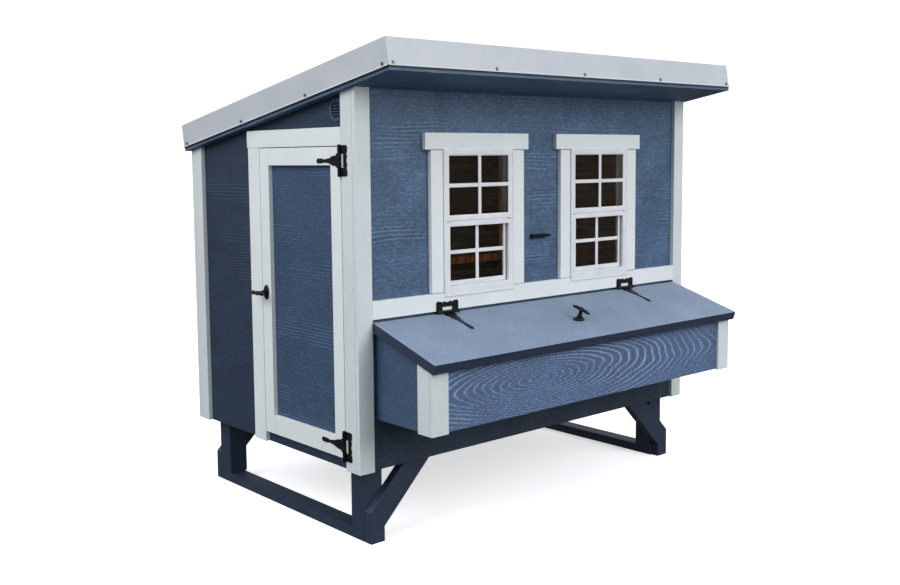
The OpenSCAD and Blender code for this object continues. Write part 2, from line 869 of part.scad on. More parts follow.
module nest_dividers() {
    bays = 4;
    y0 = -box_reach + nest_skin + sheet;
    x0 = box_x0 + 2 * nest_skin;
    x1 = box_x1 - 2 * nest_skin;
    z0 = box_z0 + nest_skin;
    step = (x1 - x0) / bays;
    flat_z = min(lid_z(-40, box_top_n - 3), nest_z1 - 4);
    color(raw) placed() {
        for (i = [1:bays - 1])
            along_x(x0 + i * step - sheet / 2, x0 + i * step + sheet / 2)
                polygon([[y0, z0], [inside + sheet, z0], [inside + sheet, flat_z],
                    [-40, flat_z], [y0, lid_z(y0, box_top_n - 3)]]);
        block(x0, x1, inside, inside + sheet, z0, z0 + 70);
        // hook on the middle divider that the lid latch turns under
        on_lid() {
            block(mid_x - 8, mid_x + 8, -hook_r - 20, -hook_r - 12, box_top_n - 12, hook_n + 9);
            block(mid_x - 8, mid_x + 8, -hook_r - 20, -hook_r, hook_n, hook_n + 9);
        }
    }
}

module nest_lid() {
    rim = 19;
    color(blue) placed() difference() {
        on_lid() {
            difference() {
                block(lid_x0, lid_x1, -lid_r1, -lid_r0, lid_low_n, lid_top_n);
                block(lid_x0 + 2 * rim, lid_x1 - 2 * rim, -lid_r1 + 3 * rim, -lid_r0 - rim,
                    lid_low_n - 1, lid_top_n - lid_board);
            }
        }
        // the back edge is cut upright so that it clears the boards
        block(lid_x0 - 1, lid_x1 + 1, -lid_gap, inside, lid_axis_z - 2 * lid_edge, band_z1);
        lid_handle_axis() cylinder(r = shaft_radius + running_fit, h = 200, center = true, $fn = 48);
    }
}

// ---- lid keeper ----

module keeper_axis() {
    translate([mid_x - keeper_length / 2 + keeper_knob, face, keeper_z]) rotate([90, 0, 0]) children();
}

module lid_keeper() {
    reach = keeper_length - keeper_knob;
    color(black) placed() keeper_axis() difference() {
        translate([0, 0, 3]) union() {
            cylinder(r = keeper_knob, h = 12, $fn = 48);
            linear_extrude(9) polygon([[0, -8], [reach * 0.5, -9], [reach - 3, -4], [reach, 0],
                [reach - 3, 4], [reach * 0.5, 9], [0, 8]]);
        }
        cylinder(r = keeper_pin + running_fit, h = 60, center = true, $fn = 48);
    }
}

module keeper_screw() {
    color(black) placed() keeper_axis() {
        translate([0, 0, -sheet]) cylinder(r = keeper_pin, h = sheet + 16, $fn = 48);
        cylinder(r = 7, h = 2.9, $fn = 48);
        translate([0, 0, 15.4]) cylinder(r1 = 7, r2 = 5, h = 4, $fn = 48);
    }
}

// ---- interior, vents and hen door ----

module roost_bars() {
    x0 = inside;
    x1 = body_length - inside;
    y0 = max(body_depth * 0.56, door_y1 - door_stop + stud + door_gap);
    z0 = floor_top + 330;
    gap_y = 260;
    gap_z = 150;
    rail = 30;
    rise = gap_z / gap_y;
    color(raw) placed() {
        for (i = [0:1])
            block(x0, x1, y0 + i * gap_y, y0 + i * gap_y + roost_bar,
                z0 + i * gap_z, z0 + i * gap_z + roost_bar);
        // sloping rails under the bars at both ends
        for (x = [x0 + stud + 10, x1 - stud - 10 - rail])
            along_x(x, x + rail) polygon([[y0 - 50, z0 + 12 - 50 * rise],
                [y0 + gap_y + 90, z0 + 12 + (gap_y + 90) * rise],
                [y0 + gap_y + 90, z0 - 36 + (gap_y + 90) * rise], [y0 - 50, z0 - 36 - 50 * rise]]);
    }
}

module vent() {
    slats = 5;
    bore = vent_radius - 9;
    translate([face, vent_y, vent_z]) rotate([0, 90, 0]) {
        difference() {
            union() {
                translate([0, 0, -4]) cylinder(r = vent_radius, h = 4, $fn = 64);
                cylinder(r = vent_radius - 4 - 0.3, h = sheet, $fn = 64);
            }
            translate([0, 0, -5]) cylinder(r = bore, h = sheet + 10, $fn = 64);
        }
    }
    for (i = [0:slats - 1]) {
        z = (i - (slats - 1) / 2) * 2 * bore / slats;
        half = sqrt(bore * bore - z * z) + 1.5;
        translate([0, vent_y, vent_z + z]) along_x(face - 3, face + 8)
            polygon([[-half, -2], [half, -2], [half, 2], [-half, 2]]);
    }
}

module wall_vents() {
    color(blue) placed() for (right = [false, true]) mirror_end(right) vent();
}

module hen_door() {
    y0 = body_depth - face + hen_gap;
    color(blue) placed() {
        block(hen_x0 - hen_lap, hen_x1 + hen_lap, y0, y0 + sheet,
            hen_z0 - hen_lap, hen_z0 + hen_height + hen_lap);
        block(mid_x - 45, mid_x + 45, y0 + sheet - 1, y0 + sheet + 20,
            hen_z0 + hen_height - 50, hen_z0 + hen_height - 30);
    }
}

module hen_door_guides() {
    y0 = body_depth - face;
    y1 = y0 + sheet + 2 * hen_gap;
    y2 = y1 + sheet;
    z0 = hen_z0 - hen_lap - seat_gap - 22;
    z1 = hen_z0 + hen_height + hen_lap + hen_travel + 6;
    half = hen_width / 2 + hen_lap + hen_gap;
    color(white) placed() {
        for (side = [-1, 1]) {
            spacer = mid_x + side * (half + 12);
            lip = mid_x + side * (half + 6);
            block(spacer - 12, spacer + 12, y0, y1, z0, z1);
            block(lip - 18, lip + 18, y1 - 0.01, y2, z0, z1);
        }
        block(mid_x - half - 24, mid_x + half + 24, y0, y2, z0, z0 + 22);
    }
}

skid(false);  // skid_left
skid(true);  // skid_right
post(false, false);  // post_front_left
post(true, false);  // post_front_right
post(false, true);  // post_rear_left
post(true, true);  // post_rear_right
brace(false, false);  // brace_front_left
brace(true, false);  // brace_front_right
brace(false, true);  // brace_rear_left
brace(true, true);  // brace_rear_right
floor_frame();
floor_panel();
front_wall();
rear_wall();
left_wall();
right_wall();
wall_frame();
soffit_panel();
roof_frame();
roof_sheet();
fascia_front();
fascia_rear();
fascia_left();
fascia_right();
fascia_screws();
corner(false, false);  // corner_front_left
corner(true, false);  // corner_front_right
corner(false, true);  // corner_rear_left
corner(true, true);  // corner_rear_right
belly_band();
window_boards(mid_x - window_offset);  // window_trim_left
window_boards(mid_x + window_offset);  // window_trim_right
door_trim();
door_panel();
door_frame();
door_hinge_straps();
door_handle_plate();
door_handle();
hinge_leaves();
hinge_pins();
window_frame(mid_x - window_offset);  // window_frame_left
window_frame(mid_x + window_offset);  // window_frame_right
upper_glass();
sash(mid_x - window_offset);  // sash_left
sash(mid_x + window_offset);  // sash_right
lower_glass(mid_x - window_offset);  // lower_glass_left
lower_glass(mid_x + window_offset);  // lower_glass_right
nest_box();
nest_corner_boards();
nest_dividers();
nest_lid();
lid_hinge_straps();
lid_handle_plate();
lid_handle();
lid_keeper();
keeper_screw();
roost_bars();
wall_vents();
hen_door();
hen_door_guides();
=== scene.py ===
import json
import math
import random

import bmesh
import bpy
from mathutils import Matrix, Vector


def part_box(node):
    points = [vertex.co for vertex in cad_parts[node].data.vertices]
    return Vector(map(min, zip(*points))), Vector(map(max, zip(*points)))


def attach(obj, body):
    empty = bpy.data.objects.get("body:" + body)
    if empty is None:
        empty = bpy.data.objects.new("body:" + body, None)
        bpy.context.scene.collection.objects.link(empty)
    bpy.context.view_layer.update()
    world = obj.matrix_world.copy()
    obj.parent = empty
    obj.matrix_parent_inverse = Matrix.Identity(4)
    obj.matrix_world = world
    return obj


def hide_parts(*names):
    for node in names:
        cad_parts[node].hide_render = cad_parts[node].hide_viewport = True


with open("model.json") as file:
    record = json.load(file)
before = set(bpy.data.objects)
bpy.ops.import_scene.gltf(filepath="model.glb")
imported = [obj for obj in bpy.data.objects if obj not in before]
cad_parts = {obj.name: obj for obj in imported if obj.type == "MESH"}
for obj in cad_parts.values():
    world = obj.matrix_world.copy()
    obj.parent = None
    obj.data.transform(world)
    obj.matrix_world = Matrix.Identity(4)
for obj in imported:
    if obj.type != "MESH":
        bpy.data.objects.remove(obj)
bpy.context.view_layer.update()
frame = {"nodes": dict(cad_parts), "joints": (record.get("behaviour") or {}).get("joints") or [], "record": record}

mm = 0.001
jointOf = {joint["name"]: joint for joint in frame["joints"]}
bodyOf = {node: body for body, nodes in frame["record"]["behaviour"]["bodies"].items() for node in nodes}
slopes = {"roof": math.radians(9.87), "lid": math.radians(17.6)}

# camera: standing height, off the door corner
cameraView = {"place": (-3.1713, -3.4569, 1.4389), "heading": 40.7609, "tilt": -5.414, "roll": -0.55,
              "lens": 41.80, "shiftX": 0.01619, "shiftY": -0.03925}


def aimedCamera(view):
    heading, tilt, roll = (math.radians(view[key]) for key in ("heading", "tilt", "roll"))
    ahead = Vector((math.sin(heading) * math.cos(tilt), math.cos(heading) * math.cos(tilt), math.sin(tilt)))
    right = Vector((math.cos(heading), -math.sin(heading), 0))
    up = right.cross(ahead)
    rightRolled = math.cos(roll) * right + math.sin(roll) * up
    upRolled = -math.sin(roll) * right + math.cos(roll) * up
    data = bpy.data.cameras.new("camera")
    data.sensor_width = 36
    data.lens = view["lens"]
    data.shift_x, data.shift_y = view["shiftX"], view["shiftY"]
    camera = bpy.data.objects.new("camera", data)
    bpy.context.scene.collection.objects.link(camera)
    turn = Matrix((rightRolled, upRolled, -ahead)).transposed().to_4x4()
    camera.matrix_world = Matrix.Translation(Vector(view["place"])) @ turn
    return camera


bpy.context.scene.camera = aimedCamera(cameraView)
bpy.context.scene.view_settings.view_transform = "Standard"
print("camera placed")


# node and colour helpers

def hexColor(code):
    parts = [int(code[i:i + 2], 16) / 255 for i in (1, 3, 5)]
    linear = [c / 12.92 if c <= 0.04045 else ((c + 0.055) / 1.055) ** 2.4 for c in parts]
    return (*linear, 1.0)


def addNode(tree, kind, settings=None, links=None):
    node = tree.nodes.new(kind)
    for key, value in (settings or {}).items():
        if key == "stops":  # colour ramp stops, as (position, colour)
            while len(node.color_ramp.elements) < len(value):
                node.color_ramp.elements.new(0.5)
            for element, (position, color) in zip(node.color_ramp.elements, value):
                element.position, element.color = position, color
        elif isinstance(key, int) or key in node.inputs:
            node.inputs[key].default_value = value
        else:
            setattr(node, key, value)
    for key, source in (links or {}).items():
        tree.links.new(source, node.inputs[key])
    return node


def newFinish(name):
    material = bpy.data.materials.new(name)
    material.use_nodes = True
    return material, material.node_tree, material.node_tree.nodes["Principled BSDF"]


# Engineered wood siding: strands pressed hot against a cedar-grained plate, then painted.
# Raised grain catches light in long thin lines, with loops where the plate copied a flat-sawn board.
# lines, swirl, fibre and depth are in mm; bold and cloud are strengths;
# a wider span makes the steps of colour softer.
# groove and ridge are painted shade and painted highlight on the grain. end, panel and nestEnd are darker copies
# of the blue paint, painted shade on the ends and the door; nest is a lighter copy, painted light on the nest
# front; lid is a lighter, greyer copy, painted sky reflection and light on the lid's top; corner is a darker copy
# of white, painted shade on the corner boards
sidingLook = {
    "blue": {"paint": "#3a536d", "groove": "#243750", "ridge": "#5c7b9a", "lines": 15, "swirl": 24,
             "depth": 0.7, "bold": 0.3, "fibre": 4.5, "span": 0.24, "cloud": 0.22},
    "end": {"paint": "#18293f", "groove": "#0f1a2a", "ridge": "#2b405c", "lines": 13, "swirl": 14,
            "depth": 0.6, "bold": 0.35, "fibre": 3.6, "span": 0.26, "cloud": 0.16},
    "panel": {"paint": "#2d425c", "groove": "#1f3047", "ridge": "#45607f", "lines": 13, "swirl": 14,
              "depth": 0.6, "bold": 0.35, "fibre": 3.6, "span": 0.26, "cloud": 0.1},
    "nest": {"paint": "#435a7c", "groove": "#2f4260", "ridge": "#8ba1c1", "lines": 10, "swirl": 20,
             "depth": 0.8, "bold": 0.42, "fibre": 4, "span": 0.3, "cloud": 0.1, "eye": (-0.3, 0.605, 5)},
    "nestEnd": {"paint": "#344a64", "groove": "#253750", "ridge": "#4b6482", "lines": 12, "swirl": 14,
                "depth": 0.5, "bold": 0.25, "fibre": 5, "span": 0.26, "cloud": 0.08},
    "lid": {"paint": "#728297", "groove": "#647489", "ridge": "#8494aa", "lines": 16, "swirl": 20,
            "depth": 0.1, "bold": 0.04, "fibre": 9, "span": 0.26, "cloud": 0.08},
    "white": {"paint": "#d5dbdc", "groove": "#c6cccf", "ridge": "#dde2e3", "lines": 9, "swirl": 10,
              "depth": 0.14, "bold": 0.08, "fibre": 3, "span": 0.34, "cloud": 0.03},
    "corner": {"paint": "#c6cecf", "groove": "#b8c0c2", "ridge": "#cfd6d7", "lines": 9, "swirl": 10,
               "depth": 0.14, "bold": 0.08, "fibre": 3, "span": 0.34, "cloud": 0.04},
    "navy": {"paint": "#1e2b40", "groove": "#141e2e", "ridge": "#324259", "lines": 11, "swirl": 16,
             "depth": 0.5, "bold": 0.25, "fibre": 4, "span": 0.3, "cloud": 0.1},
}
# the front wall takes a painted shadow below the nest box
sidingLook["front"] = {**sidingLook["blue"], "foot": (0.50, 0.60, 0.34)}

# cells to the metre, along and across: bends 530 by 130 mm, bold patches 560 by 110, strands 13 mm long,
# thin and thick coats 170 mm
woodCells = {"bend": (1.9, 7.5), "patch": (1.8, 9.0), "strand": 75, "coat": 6.0}


def paintedWood(name, look):
    material, tree, shader = newFinish(name)
    grain = addNode(tree, "ShaderNodeAttribute", {"attribute_name": "grain"})
    split = addNode(tree, "ShaderNodeSeparateXYZ", links={0: grain.outputs["Vector"]})
    level = split.outputs["Y"]
    if "eye" in look:
        # a flat-sawn board: the rings close in long loops round one point, given in metres
        eyeX, eyeZ, stretch = look["eye"]
        place = addNode(tree, "ShaderNodeTexCoord")
        centred = addNode(tree, "ShaderNodeMapping", {"Scale": (1 / stretch, 0, 1),
                                                      "Location": (-eyeX / stretch, 0, -eyeZ)},
                          {"Vector": place.outputs["Object"]})
        away = addNode(tree, "ShaderNodeVectorMath", {"operation": "LENGTH"}, {0: centred.outputs[0]})
        level = away.outputs["Value"]
    # growth rings wander a few centimetres over half a metre of length
    bendAlong, bendAcross = woodCells["bend"]
    broad = addNode(tree, "ShaderNodeMapping", {"Scale": (bendAlong, bendAcross, bendAcross)},
                    {"Vector": grain.outputs["Vector"]})
    wander = addNode(tree, "ShaderNodeTexNoise", {"Scale": 1.0, "Detail": 2.5, "Roughness": 0.45},
                     {"Vector": broad.outputs[0]})
    shifted = addNode(tree, "ShaderNodeMath", {"operation": "MULTIPLY_ADD", 1: 2 * look["swirl"] * mm},
                      {0: wander.outputs["Fac"], 2: level})
    turns = addNode(tree, "ShaderNodeMath", {"operation": "MULTIPLY", 1: 2 * math.pi / (look["lines"] * mm)},
                    {0: shifted.outputs[0]})
    wave = addNode(tree, "ShaderNodeMath", {"operation": "SINE"}, {0: turns.outputs[0]})
    # only the crest of each ring stands up, as a thin line
    rings = addNode(tree, "ShaderNodeMapRange", {"From Min": 0.25, "From Max": 0.95, "To Min": -0.12},
                    {"Value": wave.outputs[0]})
    # the plate is bold in patches and nearly smooth between them
    patchAlong, patchAcross = woodCells["patch"]
    patchPlace = addNode(tree, "ShaderNodeMapping",
                         {"Scale": (patchAlong, patchAcross, patchAcross), "Location": (7, 3, 1)},
                         {"Vector": grain.outputs["Vector"]})
    patchNoise = addNode(tree, "ShaderNodeTexNoise", {"Scale": 1.0, "Detail": 3.0},
                         {"Vector": patchPlace.outputs[0]})
    patch = addNode(tree, "ShaderNodeMapRange",
                    {"From Min": 0.54, "From Max": 0.7, "To Min": 0.12 * look["bold"],
                     "To Max": look["bold"]},
                    {"Value": patchNoise.outputs["Fac"]})
    if "eye" in look:
        # the loops stand out near that point, fade towards the board's ends and break up along the way
        fade = addNode(tree, "ShaderNodeMapRange",
                       {"From Min": 0.05, "From Max": 0.17, "To Min": look["bold"],
                        "To Max": 0.35 * look["bold"]},
                       {"Value": level})
        broken = addNode(tree, "ShaderNodeMapRange", {"From Min": 0.38, "From Max": 0.6, "To Min": 0.25},
                         {"Value": patchNoise.outputs["Fac"]})
        patch = addNode(tree, "ShaderNodeMath", {"operation": "MULTIPLY"},
                        {0: fade.outputs[0], 1: broken.outputs[0]})
    # wood fibre, a few mm apart and some 15 mm long
    across = 1000 / look["fibre"]
    fine = addNode(tree, "ShaderNodeMapping", {"Scale": (woodCells["strand"], across, across)},
                   {"Vector": grain.outputs["Vector"]})
    fibre = addNode(tree, "ShaderNodeTexNoise", {"Scale": 1.0, "Detail": 4.0, "Roughness": 0.65},
                    {"Vector": fine.outputs[0]})
    bold = addNode(tree, "ShaderNodeMath", {"operation": "MULTIPLY"},
                   {0: rings.outputs[0], 1: patch.outputs[0]})
    relief = addNode(tree, "ShaderNodeMath", {"operation": "ADD"},
                     {0: bold.outputs[0], 1: fibre.outputs["Fac"]})
    bump = addNode(tree, "ShaderNodeBump", {"Strength": 1.0, "Distance": look["depth"] * mm},
                   {"Height": relief.outputs[0]})
    # the colour ramp paints shade into the grain's grooves and a highlight along its ridges, over the bump's own
    # shading
    tone = addNode(tree, "ShaderNodeValToRGB",
                   {"stops": [(0.5 - look["span"], hexColor(look["groove"])), (0.5, hexColor(look["paint"])),
                              (0.5 + look["span"], hexColor(look["ridge"]))]},
                   {"Fac": relief.outputs[0]})
    # thin and thick coats: a slow change of tone over the board
    coat = addNode(tree, "ShaderNodeTexNoise", {"Scale": woodCells["coat"], "Detail": 6.0},
                   {"Vector": grain.outputs["Vector"]})
    dim = addNode(tree, "ShaderNodeMapRange", {"From Min": 0.3, "From Max": 0.7, "To Min": 1 - look["cloud"],
                                               "To Max": 1 + look["cloud"]}, {"Value": coat.outputs["Fac"]})
    if "foot" in look:
        # painted shadow of the nest box on the wall below it: lower and upper height in metres, and how dark the
        # paint is below the lower one
        low, high, dark = look["foot"]
        height = addNode(tree, "ShaderNodeSeparateXYZ",
                         links={0: addNode(tree, "ShaderNodeTexCoord").outputs["Object"]})
        paintedShadow = addNode(tree, "ShaderNodeMapRange", {"From Min": low, "From Max": high, "To Min": dark},
                       {"Value": height.outputs["Z"]})
        dim = addNode(tree, "ShaderNodeMath", {"operation": "MULTIPLY"},
                      {0: dim.outputs[0], 1: paintedShadow.outputs[0]})
    shaded = addNode(tree, "ShaderNodeVectorMath", {"operation": "SCALE"},
                     {0: tone.outputs["Color"], "Scale": dim.outputs[0]})
    rough = addNode(tree, "ShaderNodeMapRange",
                    {"From Min": 0.3, "From Max": 0.7, "To Min": 0.5, "To Max": 0.68},
                    {"Value": fibre.outputs["Fac"]})
    tree.links.new(shaded.outputs[0], shader.inputs["Base Color"])
    tree.links.new(rough.outputs[0], shader.inputs["Roughness"])
    tree.links.new(bump.outputs[0], shader.inputs["Normal"])
    shader.inputs["IOR"].default_value = 1.47
    return material


# Spruce framing, planed and left bare, so it is pale, with darker latewood bands.
# A higher bands value sets them wider apart; depth is in mm.
pineLook = {"early": "#d8944a", "late": "#9a5a1e", "bands": 5, "depth": 0.25}
# the same wood inside the coop, darkened as painted shade of the dim inside
insideShadeLook = {"early": "#5a4a3a", "late": "#3a2e24", "bands": 5, "depth": 0.25}


def barePine(name, look):
    material, tree, shader = newFinish(name)
    grain = addNode(tree, "ShaderNodeAttribute", {"attribute_name": "grain"})
    long = addNode(tree, "ShaderNodeMapping", {"Scale": (1.4, 14, 14)}, {"Vector": grain.outputs["Vector"]})
    wander = addNode(tree, "ShaderNodeTexNoise", {"Scale": 1.0, "Detail": 2.0}, {"Vector": long.outputs[0]})
    bands = addNode(tree, "ShaderNodeMath", {"operation": "MULTIPLY", 1: 40.0 / look["bands"]},
                    {0: wander.outputs["Fac"]})
    saw = addNode(tree, "ShaderNodeMath", {"operation": "FRACT"}, {0: bands.outputs[0]})
    fine = addNode(tree, "ShaderNodeMapping", {"Scale": (20, 500, 500)}, {"Vector": grain.outputs["Vector"]})
    fibre = addNode(tree, "ShaderNodeTexNoise", {"Scale": 1.0, "Detail": 3.0}, {"Vector": fine.outputs[0]})
    mixed = addNode(tree, "ShaderNodeMath", {"operation": "MULTIPLY_ADD", 1: 0.55},
                    {0: fibre.outputs["Fac"], 2: saw.outputs[0]})
    tone = addNode(tree, "ShaderNodeValToRGB",
                   {"stops": [(0.25, hexColor(look["early"])), (1.0, hexColor(look["late"]))]},
                   {"Fac": mixed.outputs[0]})
    bump = addNode(tree, "ShaderNodeBump", {"Strength": 0.6, "Distance": look["depth"] * mm},
                   {"Height": mixed.outputs[0]})
    tree.links.new(tone.outputs["Color"], shader.inputs["Base Color"])
    tree.links.new(bump.outputs[0], shader.inputs["Normal"])
    shader.inputs["Roughness"].default_value = 0.72
    return material


# Coil-coated steel: polyester enamel baked on flat, so it is even, pale and faintly rippled at the bends.
steelLook = {"enamel": "#b5b9bf", "dusty": "#abb0b7", "ripple": 300, "depth": 0.6}


def coatedSteel(name, look):
    material, tree, shader = newFinish(name)
    place = addNode(tree, "ShaderNodeTexCoord")
    ripple = addNode(tree, "ShaderNodeTexNoise", {"Scale": 1000 / look["ripple"], "Detail": 1.0},
                     {"Vector": place.outputs["Object"]})
    speck = addNode(tree, "ShaderNodeTexNoise", {"Scale": 900.0, "Detail": 2.0},
                    {"Vector": place.outputs["Object"]})
    cloud = addNode(tree, "ShaderNodeTexNoise", {"Scale": 6.0, "Detail": 4.0},
                    {"Vector": place.outputs["Object"]})
    tone = addNode(tree, "ShaderNodeValToRGB",
                   {"stops": [(0.3, hexColor(look["dusty"])), (0.7, hexColor(look["enamel"]))]},
                   {"Fac": cloud.outputs["Fac"]})
    height = addNode(tree, "ShaderNodeMath", {"operation": "MULTIPLY_ADD", 1: 0.02},
                     {0: speck.outputs["Fac"], 2: ripple.outputs["Fac"]})
    bump = addNode(tree, "ShaderNodeBump", {"Strength": 0.5, "Distance": look["depth"] * mm},
                   {"Height": height.outputs[0]})
    rough = addNode(tree, "ShaderNodeMapRange", {"To Min": 0.3, "To Max": 0.46},
                    {"Value": cloud.outputs["Fac"]})
    tree.links.new(tone.outputs["Color"], shader.inputs["Base Color"])
    tree.links.new(rough.outputs[0], shader.inputs["Roughness"])
    tree.links.new(bump.outputs[0], shader.inputs["Normal"])
    shader.inputs["IOR"].default_value = 1.5
    return material


# Powder coat on stamped steel: fused plastic powder, satin black with a fine orange peel about 1 mm across.
powderLook = {"coat": "#0c0d0e", "worn": "#17181a", "peel": 1.1, "depth": 0.04, "shine": 0.22}


def powderCoat(name, look):
    material, tree, shader = newFinish(name)
    place = addNode(tree, "ShaderNodeTexCoord")
    peel = addNode(tree, "ShaderNodeTexNoise", {"Scale": 1000 / look["peel"] / 3, "Detail": 1.0},
                   {"Vector": place.outputs["Object"]})
    wear = addNode(tree, "ShaderNodeTexNoise", {"Scale": 55.0, "Detail": 4.0},
                   {"Vector": place.outputs["Object"]})
    tone = addNode(tree, "ShaderNodeValToRGB",
                   {"stops": [(0.45, hexColor(look["coat"])), (0.75, hexColor(look["worn"]))]},
                   {"Fac": wear.outputs["Fac"]})
    bump = addNode(tree, "ShaderNodeBump", {"Strength": 0.7, "Distance": look["depth"] * mm},
                   {"Height": peel.outputs["Fac"]})
    rough = addNode(tree, "ShaderNodeMapRange", {"To Min": 0.28, "To Max": 0.45},
                    {"Value": wear.outputs["Fac"]})
    tree.links.new(tone.outputs["Color"], shader.inputs["Base Color"])
    tree.links.new(rough.outputs[0], shader.inputs["Roughness"])
    tree.links.new(bump.outputs[0], shader.inputs["Normal"])
    shader.inputs["Specular IOR Level"].default_value = look["shine"]
    return material


# Zinc-plated screws: metal, dulled by rain to a mottled grey.
zincLook = {"bright": "#8d9298", "dull": "#5d6268", "mottle": 2.5}


def zincPlate(name, look):
    material, tree, shader = newFinish(name)
    place = addNode(tree, "ShaderNodeTexCoord")
    mottle = addNode(tree, "ShaderNodeTexNoise", {"Scale": 1000 / look["mottle"], "Detail": 2.0},
                     {"Vector": place.outputs["Object"]})
    tone = addNode(tree, "ShaderNodeValToRGB",
                   {"stops": [(0.35, hexColor(look["dull"])), (0.7, hexColor(look["bright"]))]},
                   {"Fac": mottle.outputs["Fac"]})
    bump = addNode(tree, "ShaderNodeBump", {"Strength": 0.3, "Distance": 0.05 * mm},
                   {"Height": mottle.outputs["Fac"]})
    tree.links.new(tone.outputs["Color"], shader.inputs["Base Color"])
    tree.links.new(bump.outputs[0], shader.inputs["Normal"])
    shader.inputs["Metallic"].default_value = 1.0
    shader.inputs["Roughness"].default_value = 0.42
    return material


# Float glass: clear, with a grey tint as painted shade that darkens the view in, and a faint film of dust.
# The index is set below glass's own 1.52, so that a white room doesn't wash out the dark inside.
glassLook = {"tint": "#9ea6a4", "ior": 1.16}


def floatGlass(name, look):
    material, tree, shader = newFinish(name)
    place = addNode(tree, "ShaderNodeTexCoord")
    streak = addNode(tree, "ShaderNodeMapping", {"Scale": (24, 24, 5)}, {"Vector": place.outputs["Object"]})
    film = addNode(tree, "ShaderNodeTexNoise", {"Scale": 1.0, "Detail": 4.0}, {"Vector": streak.outputs[0]})
    rough = addNode(tree, "ShaderNodeMapRange",
                    {"From Min": 0.35, "From Max": 0.75, "To Min": 0.0, "To Max": 0.06},
                    {"Value": film.outputs["Fac"]})
    tree.links.new(rough.outputs[0], shader.inputs["Roughness"])
    shader.inputs["Base Color"].default_value = hexColor(look["tint"])
    shader.inputs["Transmission Weight"].default_value = 1.0
    shader.inputs["IOR"].default_value = look["ior"]
    return material


# Extruded vinyl: white through and through, smooth with faint die lines along its length.
vinylLook = {"clean": "#dadcde", "shade": "#c8ccd0", "lines": 1.2}


def extrudedVinyl(name, look):
    material, tree, shader = newFinish(name)
    grain = addNode(tree, "ShaderNodeAttribute", {"attribute_name": "grain"})
    drawn = addNode(tree, "ShaderNodeMapping", {"Scale": (3, 1000 / look["lines"], 1000 / look["lines"])},
                    {"Vector": grain.outputs["Vector"]})
    lines = addNode(tree, "ShaderNodeTexNoise", {"Scale": 1.0, "Detail": 1.0}, {"Vector": drawn.outputs[0]})
    grime = addNode(tree, "ShaderNodeTexNoise", {"Scale": 14.0, "Detail": 4.0},
                    {"Vector": grain.outputs["Vector"]})
    tone = addNode(tree, "ShaderNodeValToRGB",
                   {"stops": [(0.35, hexColor(look["clean"])), (0.85, hexColor(look["shade"]))]},
                   {"Fac": grime.outputs["Fac"]})
    bump = addNode(tree, "ShaderNodeBump", {"Strength": 0.35, "Distance": 0.08 * mm},
                   {"Height": lines.outputs["Fac"]})
    tree.links.new(tone.outputs["Color"], shader.inputs["Base Color"])
    tree.links.new(bump.outputs[0], shader.inputs["Normal"])
    shader.inputs["Roughness"].default_value = 0.38
    shader.inputs["IOR"].default_value = 1.53
    return material


# Moulded vent: polypropylene brushed over with the wall paint, which pools a little round the louvres.
ventLook = {"paint": "#3a4a66", "pooled": "#2b3850", "brush": 2.0}


def paintedPlastic(name, look):
    material, tree, shader = newFinish(name)
    place = addNode(tree, "ShaderNodeTexCoord")
    brush = addNode(tree, "ShaderNodeMapping", {"Scale": (60, 60, 1000 / look["brush"])},
                    {"Vector": place.outputs["Object"]})
    marks = addNode(tree, "ShaderNodeTexNoise", {"Scale": 1.0, "Detail": 2.0}, {"Vector": brush.outputs[0]})
    tone = addNode(tree, "ShaderNodeValToRGB",
                   {"stops": [(0.3, hexColor(look["pooled"])), (0.6, hexColor(look["paint"]))]},
                   {"Fac": marks.outputs["Fac"]})
    bump = addNode(tree, "ShaderNodeBump", {"Strength": 0.4, "Distance": 0.2 * mm},
                   {"Height": marks.outputs["Fac"]})
    tree.links.new(tone.outputs["Color"], shader.inputs["Base Color"])
    tree.links.new(bump.outputs[0], shader.inputs["Normal"])
    shader.inputs["Roughness"].default_value = 0.5
    return material


finishes = {
    "siding": paintedWood("bluePaintedSiding", sidingLook["blue"]),
    "frontSiding": paintedWood("bluePaintedFrontSiding", sidingLook["front"]),
    "endSiding": paintedWood("bluePaintedEndSiding", sidingLook["end"]),
    "doorPanel": paintedWood("bluePaintedDoorPanel", sidingLook["panel"]),
    "nestEnd": paintedWood("bluePaintedNestEnd", sidingLook["nestEnd"]),
    "corner": paintedWood("whitePaintedCorner", sidingLook["corner"]),
    "insideShadePine": barePine("insideShadePine", insideShadeLook),
    "nestSiding": paintedWood("bluePaintedNestSiding", sidingLook["nest"]),
    "lid": paintedWood("bluePaintedLid", sidingLook["lid"]),
    "white": paintedWood("whitePaintedBoard", sidingLook["white"]),
    "navy": paintedWood("navyPaintedTimber", sidingLook["navy"]),
    "pine": barePine("bareSpruce", pineLook),
    "steel": coatedSteel("coilCoatedSteel", steelLook),
    "black": powderCoat("blackPowderCoat", powderLook),
    "zinc": zincPlate("zincPlate", zincLook),
    "glass": floatGlass("floatGlass", glassLook),
    "vinyl": extrudedVinyl("whiteVinyl", vinylLook),
    "vent": paintedPlastic("paintedVentPlastic", ventLook),
}
print("materials made")


# mesh helpers

# which axes of the object run along, across and through a board
grainAxes = {"x": (0, 2, 1), "y": (1, 2, 0), "z": (2, 0, 1), "flatX": (0, 1, 2), "flatY": (1, 0, 2),
             "zSide": (2, 1, 0)}
dice = random.Random(41)
edgeAngle = {"ease": 25, "smooth": 38}  # degrees


def newShape():
    return {"verts": [], "faces": [], "grain": []}


def addMesh(shape, bm, along="x", at=None):
    # appends a bmesh as one board with its own stretch of grain
    offset = Vector([dice.uniform(-9, 9) for _ in range(3)])
    axes = grainAxes[along]
    start = len(shape["verts"])
    bm.verts.index_update()
    for vert in bm.verts:
        point = at @ vert.co if at else vert.co.copy()
        shape["verts"].append(point)
        shape["grain"].append(Vector([point[i] for i in axes]) + offset)
    for face in bm.faces:
        shape["faces"].append([start + vert.index for vert in face.verts])
    bm.free()


